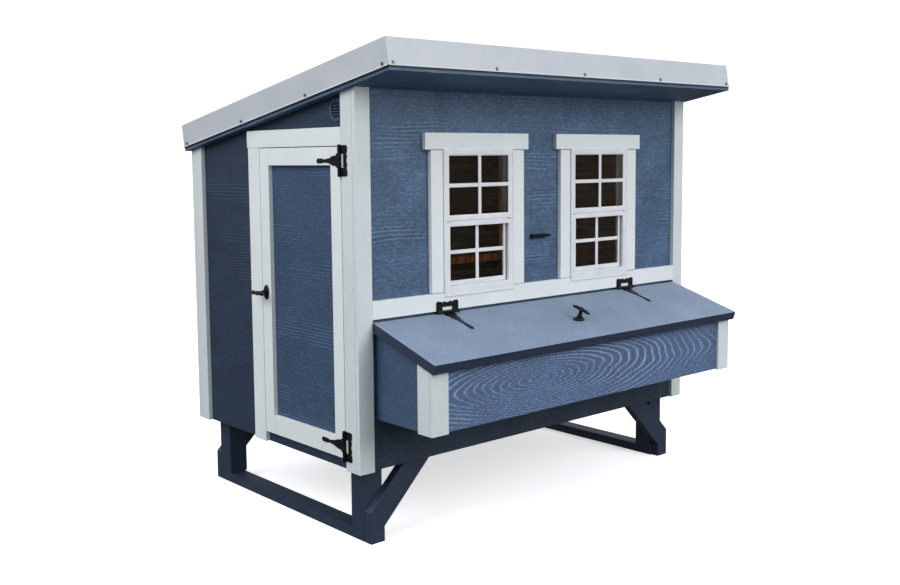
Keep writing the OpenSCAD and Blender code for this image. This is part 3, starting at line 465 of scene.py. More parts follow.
def finishShape(shape, name, finish, body, replaced=()):
    mesh = bpy.data.meshes.new(name)
    mesh.from_pydata(shape["verts"], [], shape["faces"])
    mesh.update()
    mesh.shade_smooth()
    mesh.set_sharp_from_angle(angle=math.radians(edgeAngle["smooth"]))
    grain = mesh.attributes.new("grain", "FLOAT_VECTOR", "POINT")
    grain.data.foreach_set("vector", [c for point in shape["grain"] for c in point])
    mesh.materials.append(finishes[finish])
    piece = bpy.data.objects.new(name, mesh)
    bpy.context.scene.collection.objects.link(piece)
    piece.modifiers.new("weightedNormals", "WEIGHTED_NORMAL").keep_sharp = True
    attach(piece, body)
    if replaced:
        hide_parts(*replaced)
    return piece


def ease(bm, width, segments=2):
    # rounds every edge that turns by more than the angle
    limit = math.radians(edgeAngle["ease"])
    sharp = [e for e in bm.edges if len(e.link_faces) == 2 and e.calc_face_angle(0) > limit]
    if width > 0 and sharp:
        bmesh.ops.bevel(bm, geom=sharp, offset=width, offset_type="OFFSET", segments=segments, profile=0.6,
                        affect="EDGES", clamp_overlap=True)
    return bm


def prism(outline, axis, start, end, width=1.5 * mm, segments=2):
    # an outline in the two other axes, run along one axis, with its edges rounded
    def corner(point, level):
        u, v = point
        return {"x": (level, u, v), "y": (u, level, v), "z": (u, v, level)}[axis]
    bm = bmesh.new()
    low = [bm.verts.new(corner(p, start)) for p in outline]
    high = [bm.verts.new(corner(p, end)) for p in outline]
    bm.faces.new(low)
    bm.faces.new(high[::-1])
    for i in range(len(outline)):
        j = (i + 1) % len(outline)
        bm.faces.new((low[i], high[i], high[j], low[j]))
    bmesh.ops.recalc_face_normals(bm, faces=bm.faces[:])
    return ease(bm, width, segments)


def boxBoard(low, high, width=1.5 * mm, segments=2):
    outline = [(low[1], low[2]), (high[1], low[2]), (high[1], high[2]), (low[1], high[2])]
    return prism(outline, "x", low[0], high[0], width, segments)


def lathe(profile, steps=32):
    # a profile of (radius, height), turned about Z; a zero radius closes it
    bm = bmesh.new()
    rings = []
    for radius, height in profile:
        if radius < 1e-7:
            rings.append([bm.verts.new((0, 0, height))])
        else:
            turns = [2 * math.pi * k / steps for k in range(steps)]
            rings.append([bm.verts.new((radius * math.cos(t), radius * math.sin(t), height)) for t in turns])
    for low, high in zip(rings, rings[1:]):
        for k in range(steps):
            n = (k + 1) % steps
            if len(low) == 1:
                bm.faces.new((low[0], high[k], high[n]))
            elif len(high) == 1:
                bm.faces.new((low[k], low[n], high[0]))
            else:
                bm.faces.new((low[k], low[n], high[n], high[k]))
    bmesh.ops.recalc_face_normals(bm, faces=bm.faces[:])
    return bm


def loft(sections):
    # rings of equal point count, capped at both ends
    bm = bmesh.new()
    rings = [[bm.verts.new(point) for point in section] for section in sections]
    count = len(rings[0])
    for low, high in zip(rings, rings[1:]):
        for k in range(count):
            n = (k + 1) % count
            bm.faces.new((low[k], low[n], high[n], high[k]))
    bm.faces.new(rings[0][::-1])
    bm.faces.new(rings[-1])
    bmesh.ops.recalc_face_normals(bm, faces=bm.faces[:])
    return bm


def frameLoop(low, high, profile):
    # a closed section of (inset, depth) run round an upright rectangle, mitred at its corners
    bm = bmesh.new()
    corners = [(low[0], low[1], 1, 1), (high[0], low[1], -1, 1), (high[0], high[1], -1, -1),
               (low[0], high[1], 1, -1)]
    rings = []
    for x, z, signX, signZ in corners:
        rings.append([bm.verts.new((x + signX * u, y, z + signZ * u)) for u, y in profile])
    count = len(profile)
    for i in range(4):
        ring, nextRing = rings[i], rings[(i + 1) % 4]
        for k in range(count):
            n = (k + 1) % count
            bm.faces.new((ring[k], ring[n], nextRing[n], nextRing[k]))
    bmesh.ops.recalc_face_normals(bm, faces=bm.faces[:])
    return bm


def cadCopy(node):
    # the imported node's mesh, welded and with its flat faces whole again
    bm = bmesh.new()
    bm.from_mesh(frame["nodes"][node].data)
    bmesh.ops.remove_doubles(bm, verts=bm.verts[:], dist=1e-6)
    bmesh.ops.dissolve_limit(bm, angle_limit=math.radians(0.5), verts=bm.verts[:], edges=bm.edges[:])
    return bm


def camelName(node):
    words = node.split("_")
    return words[0] + "".join(word.capitalize() for word in words[1:])


def easedNode(node, finish, along, width):
    shape = newShape()
    addMesh(shape, ease(cadCopy(node), width * mm), along)
    return finishShape(shape, camelName(node), finish, bodyOf[node], [node])


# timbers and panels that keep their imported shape, with eased edges

# node: finish, way of the grain, rounding in mm
easedNodes = {
    "skid_left": ("navy", "flatY", 3), "skid_right": ("navy", "flatY", 3),
    "post_front_left": ("navy", "z", 3), "post_front_right": ("navy", "z", 3),
    "post_rear_left": ("navy", "z", 3), "post_rear_right": ("navy", "z", 3),
    "brace_front_left": ("navy", "x", 3), "brace_front_right": ("navy", "x", 3),
    "brace_rear_left": ("navy", "x", 3), "brace_rear_right": ("navy", "x", 3),
    "floor_frame": ("pine", "flatX", 0), "floor_panel": ("insideShadePine", "flatX", 0),
    "wall_frame": ("pine", "z", 0),
    "front_wall": ("frontSiding", "x", 0), "rear_wall": ("siding", "x", 0),
    "left_wall": ("endSiding", "y", 0), "right_wall": ("doorPanel", "y", 0),
    "soffit_panel": ("siding", "flatX", 0), "roof_sheet": ("steel", "flatY", 1),
    "fascia_front": ("steel", "x", 0.7), "fascia_rear": ("steel", "x", 0.7),
    "fascia_left": ("steel", "y", 0.7), "fascia_right": ("steel", "y", 0.7),
    "fascia_screws": ("zinc", "x", 0.3), "belly_band": ("white", "x", 1.5),
    "door_panel": ("doorPanel", "y", 0), "door_hinge_straps": ("black", "y", 0.7),
    "hinge_leaves": ("black", "y", 0.7), "hinge_pins": ("black", "y", 0.5),
    "nest_box": ("nestSiding", "x", 1), "nest_dividers": ("insideShadePine", "y", 1),
    "nest_lid": ("lid", "flatX", 3),
    "lid_hinge_straps": ("black", "y", 0.7), "lid_keeper": ("black", "x", 1.6),
    "keeper_screw": ("black", "x", 0.6),
    "roost_bars": ("insideShadePine", "flatX", 3), "hen_door": ("siding", "x", 1.5),
    "hen_door_guides": ("white", "z", 1.5),
}
nodeShape = {node: easedNode(node, *look) for node, look in easedNodes.items()}


def secondCoat(obj, finish, chosen):
    # the faces that chosen() picks take another paint
    obj.data.materials.append(finishes[finish])
    for face in obj.data.polygons:
        if chosen(face):
            face.material_index = len(obj.data.materials) - 1


# the roof frame's outer faces take the navy paint as painted shade under the eaves, its inside is bare
roofFrame = easedNode("roof_frame", "pine", "flatY", 0)
frameLow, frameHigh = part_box("roof_frame")


def onRim(face):
    spot = face.center
    onEnd = min(abs(spot.x - frameLow.x), abs(spot.x - frameHigh.x)) < 1 * mm
    onEdge = min(abs(spot.y - frameLow.y), abs(spot.y - frameHigh.y)) < 40 * mm
    return onEnd or abs(face.normal.y) > 0.9 and onEdge


secondCoat(roofFrame, "navy", onRim)
# the nest box's ends take a darker copy of its paint, as painted shade
secondCoat(nodeShape["nest_box"], "nestEnd", lambda face: abs(face.normal.x) > 0.9)
# faces of the wall frame that lie wholly below this height, in metres, take the darkened wood as painted shade
insideShadeTop = 1.05
studs = nodeShape["wall_frame"].data
secondCoat(nodeShape["wall_frame"], "insideShadePine",
           lambda face: max(studs.vertices[i].co.z for i in face.vertices) < insideShadeTop)
# the siding's back is bare wood, darkened as painted shade of the dim inside
innerFaces = {"front_wall": (0, 1, 0), "rear_wall": (0, -1, 0), "left_wall": (1, 0, 0),
              "right_wall": (-1, 0, 0)}
for node, inward in innerFaces.items():
    secondCoat(nodeShape[node], "insideShadePine", lambda face: face.normal.dot(Vector(inward)) > 0.9)
# the lid's edges take the navy paint as painted shade
secondCoat(nodeShape["nest_lid"], "navy", lambda face: abs(face.normal.z) < 0.6)
print("timbers, panels and roof metal made")


# white boards, one by one

boardLook = {"ease": 2.0, "seam": 0.5, "headerEar": 27, "windowHeader": 66, "windowHalf": 188,
             "windowSeam": 2, "stile": 64, "bottomRail": 77, "topRail": 68,
             "doorHeader": 68, "casingLap": 8, "doorGap": 3, "nestBoard": 78, "nestThick": 12}


def slopedBoard(shape, x0, x1, y0, y1, z0, topAt, slope, along="z"):
    # an upright board whose top follows a slope; topAt is (y, z) of one point on that slope
    def top(y):
        return topAt[1] + (y - topAt[0]) * slope
    outline = [(y0, z0), (y1, z0), (y1, top(y1)), (y0, top(y0))]
    addMesh(shape, prism(outline, "x", x0, x1, boardLook["ease"] * mm), along)


def cornerPost(node, rightEnd, rear):
    low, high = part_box(node)
    width = high.x - low.x
    thick = (high.y - low.y) - width
    seam = boardLook["seam"] * mm
    topAt, slope = (low.y, high.z), -math.tan(slopes["roof"])
    sideX = (high.x - thick, high.x) if rightEnd else (low.x, low.x + thick)
    faceY = (high.y - thick, high.y) if rear else (low.y, low.y + thick)
    sideY = (low.y, high.y - thick - seam) if rear else (low.y + thick + seam, high.y)
    shape = newShape()
    slopedBoard(shape, low.x, high.x, *faceY, low.z, topAt, slope)
    slopedBoard(shape, *sideX, *sideY, low.z, topAt, slope, "zSide")
    finishShape(shape, camelName(node), "corner", bodyOf[node], [node])


for node, rightEnd, rear in (("corner_front_left", False, False), ("corner_front_right", True, False),
                             ("corner_rear_left", False, True), ("corner_rear_right", True, True)):
    cornerPost(node, rightEnd, rear)


def windowSurround(side):
    node = "window_trim_" + side
    low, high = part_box(node)
    midX = (low.x + high.x) / 2
    seam, ear, width = boardLook["windowSeam"] * mm, boardLook["headerEar"] * mm, boardLook["ease"] * mm
    headerZ = high.z - boardLook["windowHeader"] * mm
    half = boardLook["windowHalf"] * mm + seam
    shape = newShape()
    addMesh(shape, boxBoard((low.x, low.y, headerZ + seam), high, width), "x")
    addMesh(shape, boxBoard((low.x + ear, low.y, low.z + seam), (midX - half, high.y, headerZ), width), "z")
    addMesh(shape, boxBoard((midX + half, low.y, low.z + seam), (high.x - ear, high.y, headerZ), width), "z")
    finishShape(shape, camelName(node), "white", bodyOf[node], [node])


def doorSurround():
    low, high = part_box("door_trim")
    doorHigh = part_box("door_frame")[1]
    seam, width = boardLook["seam"] * mm, boardLook["ease"] * mm
    headerZ = high.z - boardLook["doorHeader"] * mm
    shape = newShape()
    addMesh(shape, boxBoard((low.x, low.y + seam, headerZ), high, width), "y")
    addMesh(shape, boxBoard((low.x, doorHigh.y + boardLook["doorGap"] * mm, low.z),
                            (high.x, high.y - boardLook["casingLap"] * mm, headerZ - seam), width), "zSide")
    finishShape(shape, "doorTrim", "white", "coop", ["door_trim"])


def doorBoards():
    low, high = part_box("door_frame")
    stile, bottom, top = (boardLook[key] * mm for key in ("stile", "bottomRail", "topRail"))
    seam, width = boardLook["seam"] * mm, boardLook["ease"] * mm
    shape = newShape()
    addMesh(shape, boxBoard(low, (high.x, low.y + stile, high.z), width), "zSide")
    addMesh(shape, boxBoard((low.x, high.y - stile, low.z), high, width), "zSide")
    railY = (low.y + stile + seam, high.y - stile - seam)
    addMesh(shape, boxBoard((low.x, railY[0], low.z), (high.x, railY[1], low.z + bottom), width), "y")
    addMesh(shape, boxBoard((low.x, railY[0], high.z - top), (high.x, railY[1], high.z), width), "y")
    finishShape(shape, "doorFrame", "white", "door", ["door_frame"])


def nestCorners():
    low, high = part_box("nest_corner_boards")
    wide, thick, seam = boardLook["nestBoard"] * mm, boardLook["nestThick"] * mm, boardLook["seam"] * mm
    topAt, slope = (high.y, high.z), math.tan(slopes["lid"])
    shape = newShape()
    for faceX, sideX in (((low.x, low.x + wide), (low.x, low.x + thick)),
                         ((high.x - wide, high.x), (high.x - thick, high.x))):
        slopedBoard(shape, *faceX, low.y, low.y + thick, low.z, topAt, slope)
        slopedBoard(shape, *sideX, low.y + thick + seam, low.y + wide, low.z, topAt, slope, "zSide")
    finishShape(shape, "nestCornerBoards", "corner", "coop",
                ["nest_corner_boards"])


windowSurround("left")
windowSurround("right")
doorSurround()
doorBoards()
nestCorners()
print("white boards made")


# windows

# mm; the lights are measured up from the sill and out from the middle
windowLook = {"lap": 16, "lip": 4, "half": 188, "lowHalf": 158, "upHalf": 163, "lowFrom": 23, "lowTo": 254,
              "upFrom": 293.5, "upTo": 531, "track": 8, "round": 1.6, "bar": 16, "bead": 7, "beadDeep": 6,
              "face": 12, "backBar": 11, "groove": 2, "overlap": 2, "fixedBar": 4,
              "stile": 12.5, "sashDeep": 12, "lugFrom": 5.2, "bottomRail": 18, "topRail": 14,
              "liftHalf": 60, "liftOut": 2.4, "liftFrom": 8, "liftTo": 12.5}
beadSection = [(-1, 1.6), (1.5, 1.6), (4.2, 3.6), (4.2, 4.0), (-1, 4.0)]  # (inset, depth) in mm
windowSize = {key: value * mm for key, value in windowLook.items()}


def flatBar(shape, x, y, z, along):
    # x, y and z are spans; the two ends of x may come in either order
    x = sorted(x)
    addMesh(shape, boxBoard((x[0], y[0], z[0]), (x[1], y[1], z[1]), windowSize["round"], 3), along)


def crossBars(shape, midX, half, z0, z1, y0, y1):
    # one upright bar, and two halves of a level one that stop against it
    bar = windowSize["bar"] / 2
    midZ = (z0 + z1) / 2
    flatBar(shape, (midX - bar, midX + bar), (y0, y1), (z0, z1), "z")
    for x in ((midX - half, midX - bar), (midX + bar, midX + half)):
        flatBar(shape, x, (y0 + 0.4 * mm, y1), (midZ - bar + 0.5 * mm, midZ + bar - 0.5 * mm), "x")


def windowFrame(side):
    node = "window_frame_" + side
    size = windowSize
    low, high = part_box(node)
    midX = (low.x + high.x) / 2
    half, lowHalf, upHalf = size["half"], size["lowHalf"], size["upHalf"]
    sillZ, topZ = low.z + size["lap"], high.z - size["lip"]
    lowZ0, lowZ1 = sillZ + size["lowFrom"], sillZ + size["lowTo"]
    upZ0, upZ1 = sillZ + size["upFrom"], sillZ + size["upTo"]
    meetZ = (lowZ1 + upZ0) / 2
    front, back, face = low.y, high.y, low.y + size["face"]
    groove, overlap, beadDeep = size["groove"], size["overlap"], size["beadDeep"]
    shape = newShape()
    # each bar stands a few tenths of a mm behind its neighbour, as extrusions that meet do
    for sign in (-1, 1):
        bead = midX + sign * (half - size["bead"])
        flatBar(shape, (midX + sign * half, bead), (front, front + beadDeep), (low.z, high.z), "z")
        flatBar(shape, (bead, midX + sign * upHalf), (front + 1.0 * mm, face), (meetZ, high.z - beadDeep),
                "z")
        flatBar(shape, (bead, midX + sign * lowHalf), (front + 0.6 * mm, face),
                (low.z + beadDeep, meetZ - groove), "z")
        # the part that stands in the wall, with the sash's side groove
        flatBar(shape, (midX + sign * (half - 0.5 * mm), midX + sign * (lowHalf + size["track"])),
                (front + beadDeep, back), (sillZ, topZ), "z")
        flatBar(shape, (midX + sign * (half - 1 * mm), midX + sign * lowHalf), (back - size["backBar"], back),
                (sillZ, topZ), "z")
    span = (midX - half + size["bead"], midX + half - size["bead"])
    wallSpan = (midX - half + 1 * mm, midX + half - 1 * mm)
    flatBar(shape, span, (front + 0.3 * mm, face), (upZ1, high.z), "x")
    flatBar(shape, span, (front, front + 4 * mm), (low.z, low.z + size["bead"]), "x")
    flatBar(shape, span, (front + 0.8 * mm, face), (low.z + beadDeep, lowZ0), "x")
    flatBar(shape, wallSpan, (face, back), (sillZ, lowZ0), "x")
    flatBar(shape, wallSpan, (face, back), (upZ1, topZ), "x")
    # two meeting rails with the dark groove between them
    flatBar(shape, (midX - upHalf - overlap, midX + upHalf + overlap), (front + 1.2 * mm, face),
            (meetZ + groove, upZ0), "x")
    flatBar(shape, (midX - lowHalf - overlap, midX + lowHalf + overlap), (front + 0.4 * mm, face),
            (lowZ1, meetZ - groove), "x")
    flatBar(shape, (midX - lowHalf, midX + lowHalf), (front + 4.5 * mm, front + 11 * mm),
            (meetZ - 3 * mm, meetZ + 3 * mm), "x")
    # glazing bead round the upper light, and its bars
    section = [(u * mm, front + v * mm) for u, v in beadSection]
    addMesh(shape, frameLoop((midX - upHalf, upZ0), (midX + upHalf, upZ1), section), "x")
    crossBars(shape, midX, upHalf, upZ0, upZ1, front + 0.5 * mm, front + size["fixedBar"])
    finishShape(shape, camelName(node), "vinyl", bodyOf[node], [node])


def slidingSash(side):
    # slim uprights with a rounded front, a lug that runs in the groove, and a lift along the bottom rail
    node = "sash_" + side
    size = windowSize
    low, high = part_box(node)
    unitLow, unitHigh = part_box("window_frame_" + side)
    midX = (unitLow.x + unitHigh.x) / 2
    y, edge = low.y, high.x - midX - size["track"]
    pane, deep = edge - size["stile"], low.y + size["sashDeep"]
    sillZ, headZ = low.z + size["bottomRail"], high.z - size["topRail"]
    shape = newShape()
    for sign in (-1, 1):
        flatBar(shape, (midX + sign * edge, midX + sign * pane), (y, deep), (low.z, high.z), "z")
        flatBar(shape, (midX + sign * (edge - size["overlap"]), midX + sign * (edge + size["track"])),
                (y + size["lugFrom"], deep), (low.z + 1 * mm, high.z - 1 * mm), "z")
    for z in ((low.z, sillZ), (headZ, high.z)):
        flatBar(shape, (midX - pane - 1 * mm, midX + pane + 1 * mm), (y + 0.3 * mm, y + 11.7 * mm), z, "x")
    flatBar(shape, (midX - size["liftHalf"], midX + size["liftHalf"]), (y - size["liftOut"], y + 1 * mm),
            (low.z + size["liftFrom"], low.z + size["liftTo"]), "x")
    crossBars(shape, midX, pane, sillZ, headZ, y + 1 * mm, y + 5 * mm)
    finishShape(shape, camelName(node), "vinyl", bodyOf[node], [node])


for side in ("left", "right"):
    windowFrame(side)
    slidingSash(side)
for node in ("upper_glass", "lower_glass_left", "lower_glass_right"):
    pane = frame["nodes"][node]
    pane.data.materials.clear()
    pane.data.materials.append(finishes["glass"])
print("windows made")


# hinges' screws and the handles

hardwareLook = {"screwRadius": 3.4, "screwHigh": 1.6, "strapHalf": 27.14, "plate": 3,
                "leafScrews": (-40, 0, 40), "leafIn": 26, "strapScrews": (16, 58, 98, 140), "barrelOut": 7}


def screwHead(shape, at):
    r, h = hardwareLook["screwRadius"] * mm, hardwareLook["screwHigh"] * mm
    dome = [(0, h * 0.45), (r * 0.22, h * 0.45), (r * 0.3, h * 0.95), (r * 0.55, h), (r * 0.85, h * 0.7),
            (r, h * 0.15),
            (r, -0.3 * mm), (0, -0.3 * mm)]
    addMesh(shape, lathe(dome, 20), "x", at)


def hingeScrews(shape, at, straps):
    # local frame: X towards the strap's tip, Y along the barrel, Z out of the surface
    high = hardwareLook["plate"] * mm
    if straps:
        places = [(u, v) for u in hardwareLook["strapScrews"] for v in ((-14, 14) if u < 20 else (0,))]
    else:
        places = [(-hardwareLook["leafIn"], v) for v in hardwareLook["leafScrews"]]
    for u, v in places:
        screwHead(shape, at @ Matrix.Translation((u * mm, v * mm, high)))


def axes(origin, x, y, z):
    turn = Matrix((Vector(x), Vector(y), Vector(z))).transposed().to_4x4()
    return Matrix.Translation(Vector(origin)) @ turn


doorJoint, lidJoint = jointOf["door_hinge"], jointOf["nest_lid_hinge"]
strapLow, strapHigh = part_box("door_hinge_straps")
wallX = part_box("corner_front_left")[0].x
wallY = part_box("belly_band")[0].y
half = hardwareLook["strapHalf"] * mm
downSlope = Vector((0, -math.cos(slopes["lid"]), -math.sin(slopes["lid"])))
lidUp = Vector((0, -math.sin(slopes["lid"]), math.cos(slopes["lid"])))
doorScrews, leafScrews, lidScrews = newShape(), newShape(), newShape()
for z in (strapLow.z + half, strapHigh.z - half):
    at = axes((wallX, doorJoint["pos_m"][1], z), (0, 1, 0), (0, 0, -1), (-1, 0, 0))
    hingeScrews(doorScrews, at, True)
    hingeScrews(leafScrews, at, False)
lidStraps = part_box("lid_hinge_straps")
lidAxis = Vector(lidJoint["pos_m"])
for x in (lidStraps[0].x + half, lidStraps[1].x - half):
    hingeScrews(leafScrews, axes((x, wallY, lidAxis.z), (0, 0, -1), (1, 0, 0), (0, -1, 0)), False)
    onLid = Vector((x, lidAxis.y, lidAxis.z)) - lidUp * hardwareLook["barrelOut"] * mm
    hingeScrews(lidScrews, axes(onLid, downSlope, (1, 0, 0), lidUp), True)
finishShape(doorScrews, "doorHingeScrews", "black", "door")
finishShape(leafScrews, "hingeLeafScrews", "black", "coop")
finishShape(lidScrews, "lidHingeScrews", "black", "nest_lid")

# cast T-handle: oval rose, waisted stem, and a grip of two leaves
handleLook = {"roseLong": 29.5, "roseWide": 17, "roseHigh": 9.0, "stemHigh": 45.4, "gripHalf": 49, "shaft": 5,
              "droop": 2.5, "screwOut": 21.5, "tongueHalf": 9, "doorReach": 64,
              "lidReach": 34, "lidDepth": 34,
              # leaf rows: place along the half grip, half width and half thickness in mm
              "leaf": [(0.0, 9.5, 8.6), (0.12, 8.6, 8.0), (0.26, 6.2, 6.6), (0.4, 7.0, 6.4), (0.58, 9.0, 6.2),
                       (0.74, 8.6, 5.2), (0.88, 6.0, 3.6), (0.96, 3.2, 2.2), (1.0, 1.4, 1.0)]}


def ovalRing(halfLong, halfWide, height, count=40):
    ring = []
    for k in range(count):
        turn = 2 * math.pi * k / count
        ring.append((halfLong * math.cos(turn), halfWide * math.sin(turn), height))
    return ring


def handleRose(at, name, body, node):
    # a thick cast oval with a rolled shoulder, dished round the stem
    look = handleLook
    steps = [(1.0, 0.0), (1.0, 0.3), (0.985, 0.5), (0.93, 0.72), (0.84, 0.88), (0.7, 0.98), (0.56, 1.0),
             (0.5, 0.92),
             (0.4, 0.9)]
    rings = [ovalRing(look["roseLong"] * mm * s, look["roseWide"] * mm * s, look["roseHigh"] * mm * h)
             for s, h in steps]
    shape = newShape()
    addMesh(shape, loft(rings), "x", at)
    for side in (-1, 1):
        screwHead(shape, at @ Matrix.Translation((side * look["screwOut"] * mm, 0,
                                                  look["roseHigh"] * mm * 0.9)))
    finishShape(shape, name, "black", body, [node])


def handleGrip(at, name, body, node, depth, reach):
    look = handleLook
    top = look["stemHigh"] * mm
    # (radius, height) in mm above the mounting face: shaft, flared foot, waist, then the head
    turned = [(0, -depth / mm), (look["shaft"], -depth / mm), (look["shaft"], 9.3), (10.6, 9.4), (11, 12),
              (10.2, 14), (9.6, 17), (8.4, 24), (7.4, 31), (7.2, 36), (8.2, 41), (8.8, 45),
              (8.0, 49.5), (5.0, 52.4), (0, 53)]
    shape = newShape()
    addMesh(shape, lathe([(r * mm, h * mm) for r, h in turned], 36), "x", at)
    stations = [(-s, w, t) for s, w, t in reversed(look["leaf"][1:])] + list(look["leaf"])
    rings = []
    for s, w, t in stations:
        level = top - s * s * look["droop"] * mm
        turns = [2 * math.pi * k / 24 for k in range(24)]
        rings.append([(s * look["gripHalf"] * mm, w * mm * math.cos(turn), level + t * mm * math.sin(turn))
                      for turn in turns])
    addMesh(shape, loft(rings), "x", at)
    half = look["tongueHalf"] * mm
    tongue = boxBoard((-half, -half, -depth + 3 * mm), (half, reach, -depth + 7 * mm), 0.8 * mm)
    addMesh(shape, tongue, "x", at)
    finishShape(shape, name, "black", body, [node])


doorHandle, lidHandle = jointOf["door_handle_turn"], jointOf["lid_handle_turn"]
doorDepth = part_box("door_handle")[1].x - doorHandle["pos_m"][0]
gripAt = axes(doorHandle["pos_m"], (0, 1, 0), (0, 0, -1), (-1, 0, 0))
handleRose(axes(doorHandle["pos_m"], (0, 0, 1), (0, 1, 0), (-1, 0, 0)), "doorHandleRose", "door",
           "door_handle_plate")
handleGrip(gripAt, "doorHandleGrip", "door_handle", "door_handle", doorDepth,
           handleLook["doorReach"] * mm)
upSlope = -downSlope
lidGripAt = axes(lidHandle["pos_m"], upSlope, (-1, 0, 0), lidUp)
handleRose(axes(lidHandle["pos_m"], (1, 0, 0), upSlope, lidUp), "lidHandleRose", "nest_lid",
           "lid_handle_plate")
handleGrip(lidGripAt, "lidHandleGrip", "lid_handle", "lid_handle",
           handleLook["lidDepth"] * mm, handleLook["lidReach"] * mm)
print("hinge screws and handles made")


# round vents

ventShape = {"bore": 33, "louvres": 6, "tilt": 38, "thick": 1.6, "collar": 12}


def roundVent(shape, at, outer):
    look = ventShape
    bore, collar = look["bore"] * mm, look["collar"] * mm
    inHole = outer - 4.4 * mm
    ring = [(bore, -collar), (inHole, -collar), (inHole, 0), (outer, 0), (outer, 2.2 * mm),
            (outer - 1.2 * mm, 3.4 * mm), (outer - 3 * mm, 4 * mm), (bore + 2 * mm, 4 * mm),
            (bore, 2.6 * mm), (bore, -collar)]
    bm = lathe(ring, 64)
    bmesh.ops.remove_doubles(bm, verts=bm.verts[:], dist=1e-7)
    addMesh(shape, bm, "x", at)
    pitch = 2 * bore / look["louvres"]
    for i in range(look["louvres"]):
        level = (i - (look["louvres"] - 1) / 2) * pitch
        halfLong = math.sqrt(bore ** 2 - level ** 2) + 0.8 * mm
        thick = look["thick"] * mm / 2
        blade = [(-11 * mm, -thick), (0, -thick * 1.2), (4 * mm, -thick), (4 * mm, thick), (0, thick * 1.2),
                 (-11 * mm, thick)]
        turn = Matrix.Translation((0, level, 0)) @ Matrix.Rotation(math.radians(look["tilt"]), 4, "X")
        # blades run along X with their depth along Z, and slope down to the outside to shed rain
        bm = prism([(v, u) for u, v in blade], "x", -halfLong, halfLong, 0.4 * mm)
        addMesh(shape, bm, "x", at @ turn)


ventLow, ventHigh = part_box("wall_vents")
ventY, ventZ = (ventLow.y + ventHigh.y) / 2, (ventLow.z + ventHigh.z) / 2
ventRadius = (ventHigh.y - ventLow.y) / 2
shape = newShape()
wallLeft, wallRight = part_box("left_wall")[0].x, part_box("right_wall")[1].x
roundVent(shape, axes((wallLeft, ventY, ventZ), (0, -1, 0), (0, 0, 1), (-1, 0, 0)), ventRadius)
roundVent(shape, axes((wallRight, ventY, ventZ), (0, 1, 0), (0, 0, 1), (1, 0, 0)), ventRadius)
finishShape(shape, "wallVents", "vent", "coop", ["wall_vents"])
print("vents made")


# floor and light

stageLook = {"floor": "#f7f8f9", "shade": "#eff0f2", "glow": 0.6, "floorRadius": 9.5, "curve": 3.0,
             "wall": 6.0, "skyTint": "#f6f9ff", "zenith": 1.15, "horizon": 0.32, "ground": 0.16,
             "key": 300, "keySize": 4.0, "keyPlace": (1.6, -7.0, 3.6),
             "side": 250, "sideSize": 4.0, "sidePlace": (-6.0, -0.6, 4.6), "inside": 4,
             "insidePlace": (0.1, 0.2, 1.35), "insideTarget": (0.9, 0.3, 1.0), "insideSize": 0.3,
             "insideTint": "#ffe3c0"}


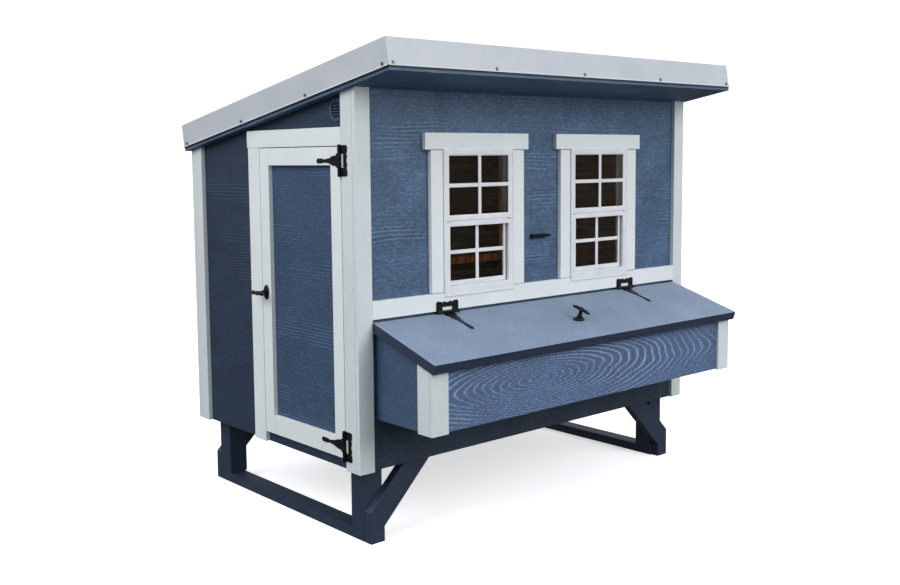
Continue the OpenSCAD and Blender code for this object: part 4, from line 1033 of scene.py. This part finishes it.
def stageBowl(look):
    # a floor that curves up into a pale wall all round
    profile = [(0, 0), (look["floorRadius"], 0)]
    for k in range(1, 13):
        turn = math.pi / 2 * k / 12
        profile.append((look["floorRadius"] + look["curve"] * math.sin(turn),
                        look["curve"] * (1 - math.cos(turn))))
    profile.append((look["floorRadius"] + look["curve"], look["wall"]))
    bm = lathe(profile, 96)
    mesh = bpy.data.meshes.new("stageBowl")
    bm.to_mesh(mesh)
    bm.free()
    mesh.shade_smooth()
    material, tree, shader = newFinish("paleFloor")
    place = addNode(tree, "ShaderNodeTexCoord")
    cloud = addNode(tree, "ShaderNodeTexNoise", {"Scale": 0.8}, {"Vector": place.outputs["Object"]})
    tone = addNode(tree, "ShaderNodeValToRGB",
                   {"stops": [(0.2, hexColor(look["floor"])), (0.9, hexColor(look["shade"]))]},
                   {"Fac": cloud.outputs["Fac"]})
    tree.links.new(tone.outputs["Color"], shader.inputs["Base Color"])
    shader.inputs["Roughness"].default_value = 0.9
    shader.inputs["Emission Color"].default_value = hexColor(look["floor"])
    shader.inputs["Emission Strength"].default_value = look["glow"]
    mesh.materials.append(material)
    bowl = bpy.data.objects.new("stageBowl", mesh)
    bpy.context.scene.collection.objects.link(bowl)
    bowl.visible_diffuse = False
    bowl.visible_glossy = False


def softSky(look):
    world = bpy.data.worlds.new("softSky")
    bpy.context.scene.world = world
    world.use_nodes = True
    tree = world.node_tree
    background = tree.nodes["Background"]
    place = addNode(tree, "ShaderNodeTexCoord")
    split = addNode(tree, "ShaderNodeSeparateXYZ", links={0: place.outputs["Generated"]})
    above = addNode(tree, "ShaderNodeMapRange",
                    {"From Min": 0.02, "From Max": 0.55, "To Min": look["horizon"],
                                                 "To Max": look["zenith"]}, {"Value": split.outputs["Z"]})
    below = addNode(tree, "ShaderNodeMapRange", {"From Min": -0.1, "From Max": 0.0, "To Min": look["ground"],
                                                 "To Max": look["horizon"]}, {"Value": split.outputs["Z"]})
    level = addNode(tree, "ShaderNodeMath", {"operation": "MULTIPLY"},
                    {0: above.outputs[0], 1: below.outputs[0]})
    scaled = addNode(tree, "ShaderNodeMath", {"operation": "DIVIDE", 1: look["horizon"]},
                     {0: level.outputs[0]})
    tree.links.new(scaled.outputs[0], background.inputs["Strength"])
    background.inputs["Color"].default_value = hexColor(look["skyTint"])


def softBox(name, place, target, size, power, color="#ffffff"):
    data = bpy.data.lights.new(name, "AREA")
    data.shape, data.size, data.energy = "SQUARE", size, power
    data.color = hexColor(color)[:3]
    light = bpy.data.objects.new(name, data)
    bpy.context.scene.collection.objects.link(light)
    light.location = place
    light.rotation_mode = "QUATERNION"
    light.rotation_quaternion = (Vector(target) - Vector(place)).to_track_quat("-Z", "Y")
    return light


stageBowl(stageLook)
softSky(stageLook)
softBox("keyLight", stageLook["keyPlace"], (0, 0, 0.8), stageLook["keySize"], stageLook["key"])
softBox("sideLight", stageLook["sidePlace"], (-0.9, 0, 0.9), stageLook["sideSize"], stageLook["side"])
insideLight = softBox("insideLight", stageLook["insidePlace"], stageLook["insideTarget"],
                      stageLook["insideSize"], stageLook["inside"], stageLook["insideTint"])
# the lamp itself must not show through the panes
insideLight.visible_camera = False
insideLight.visible_transmission = False
insideLight.visible_glossy = False
print("floor and light set")
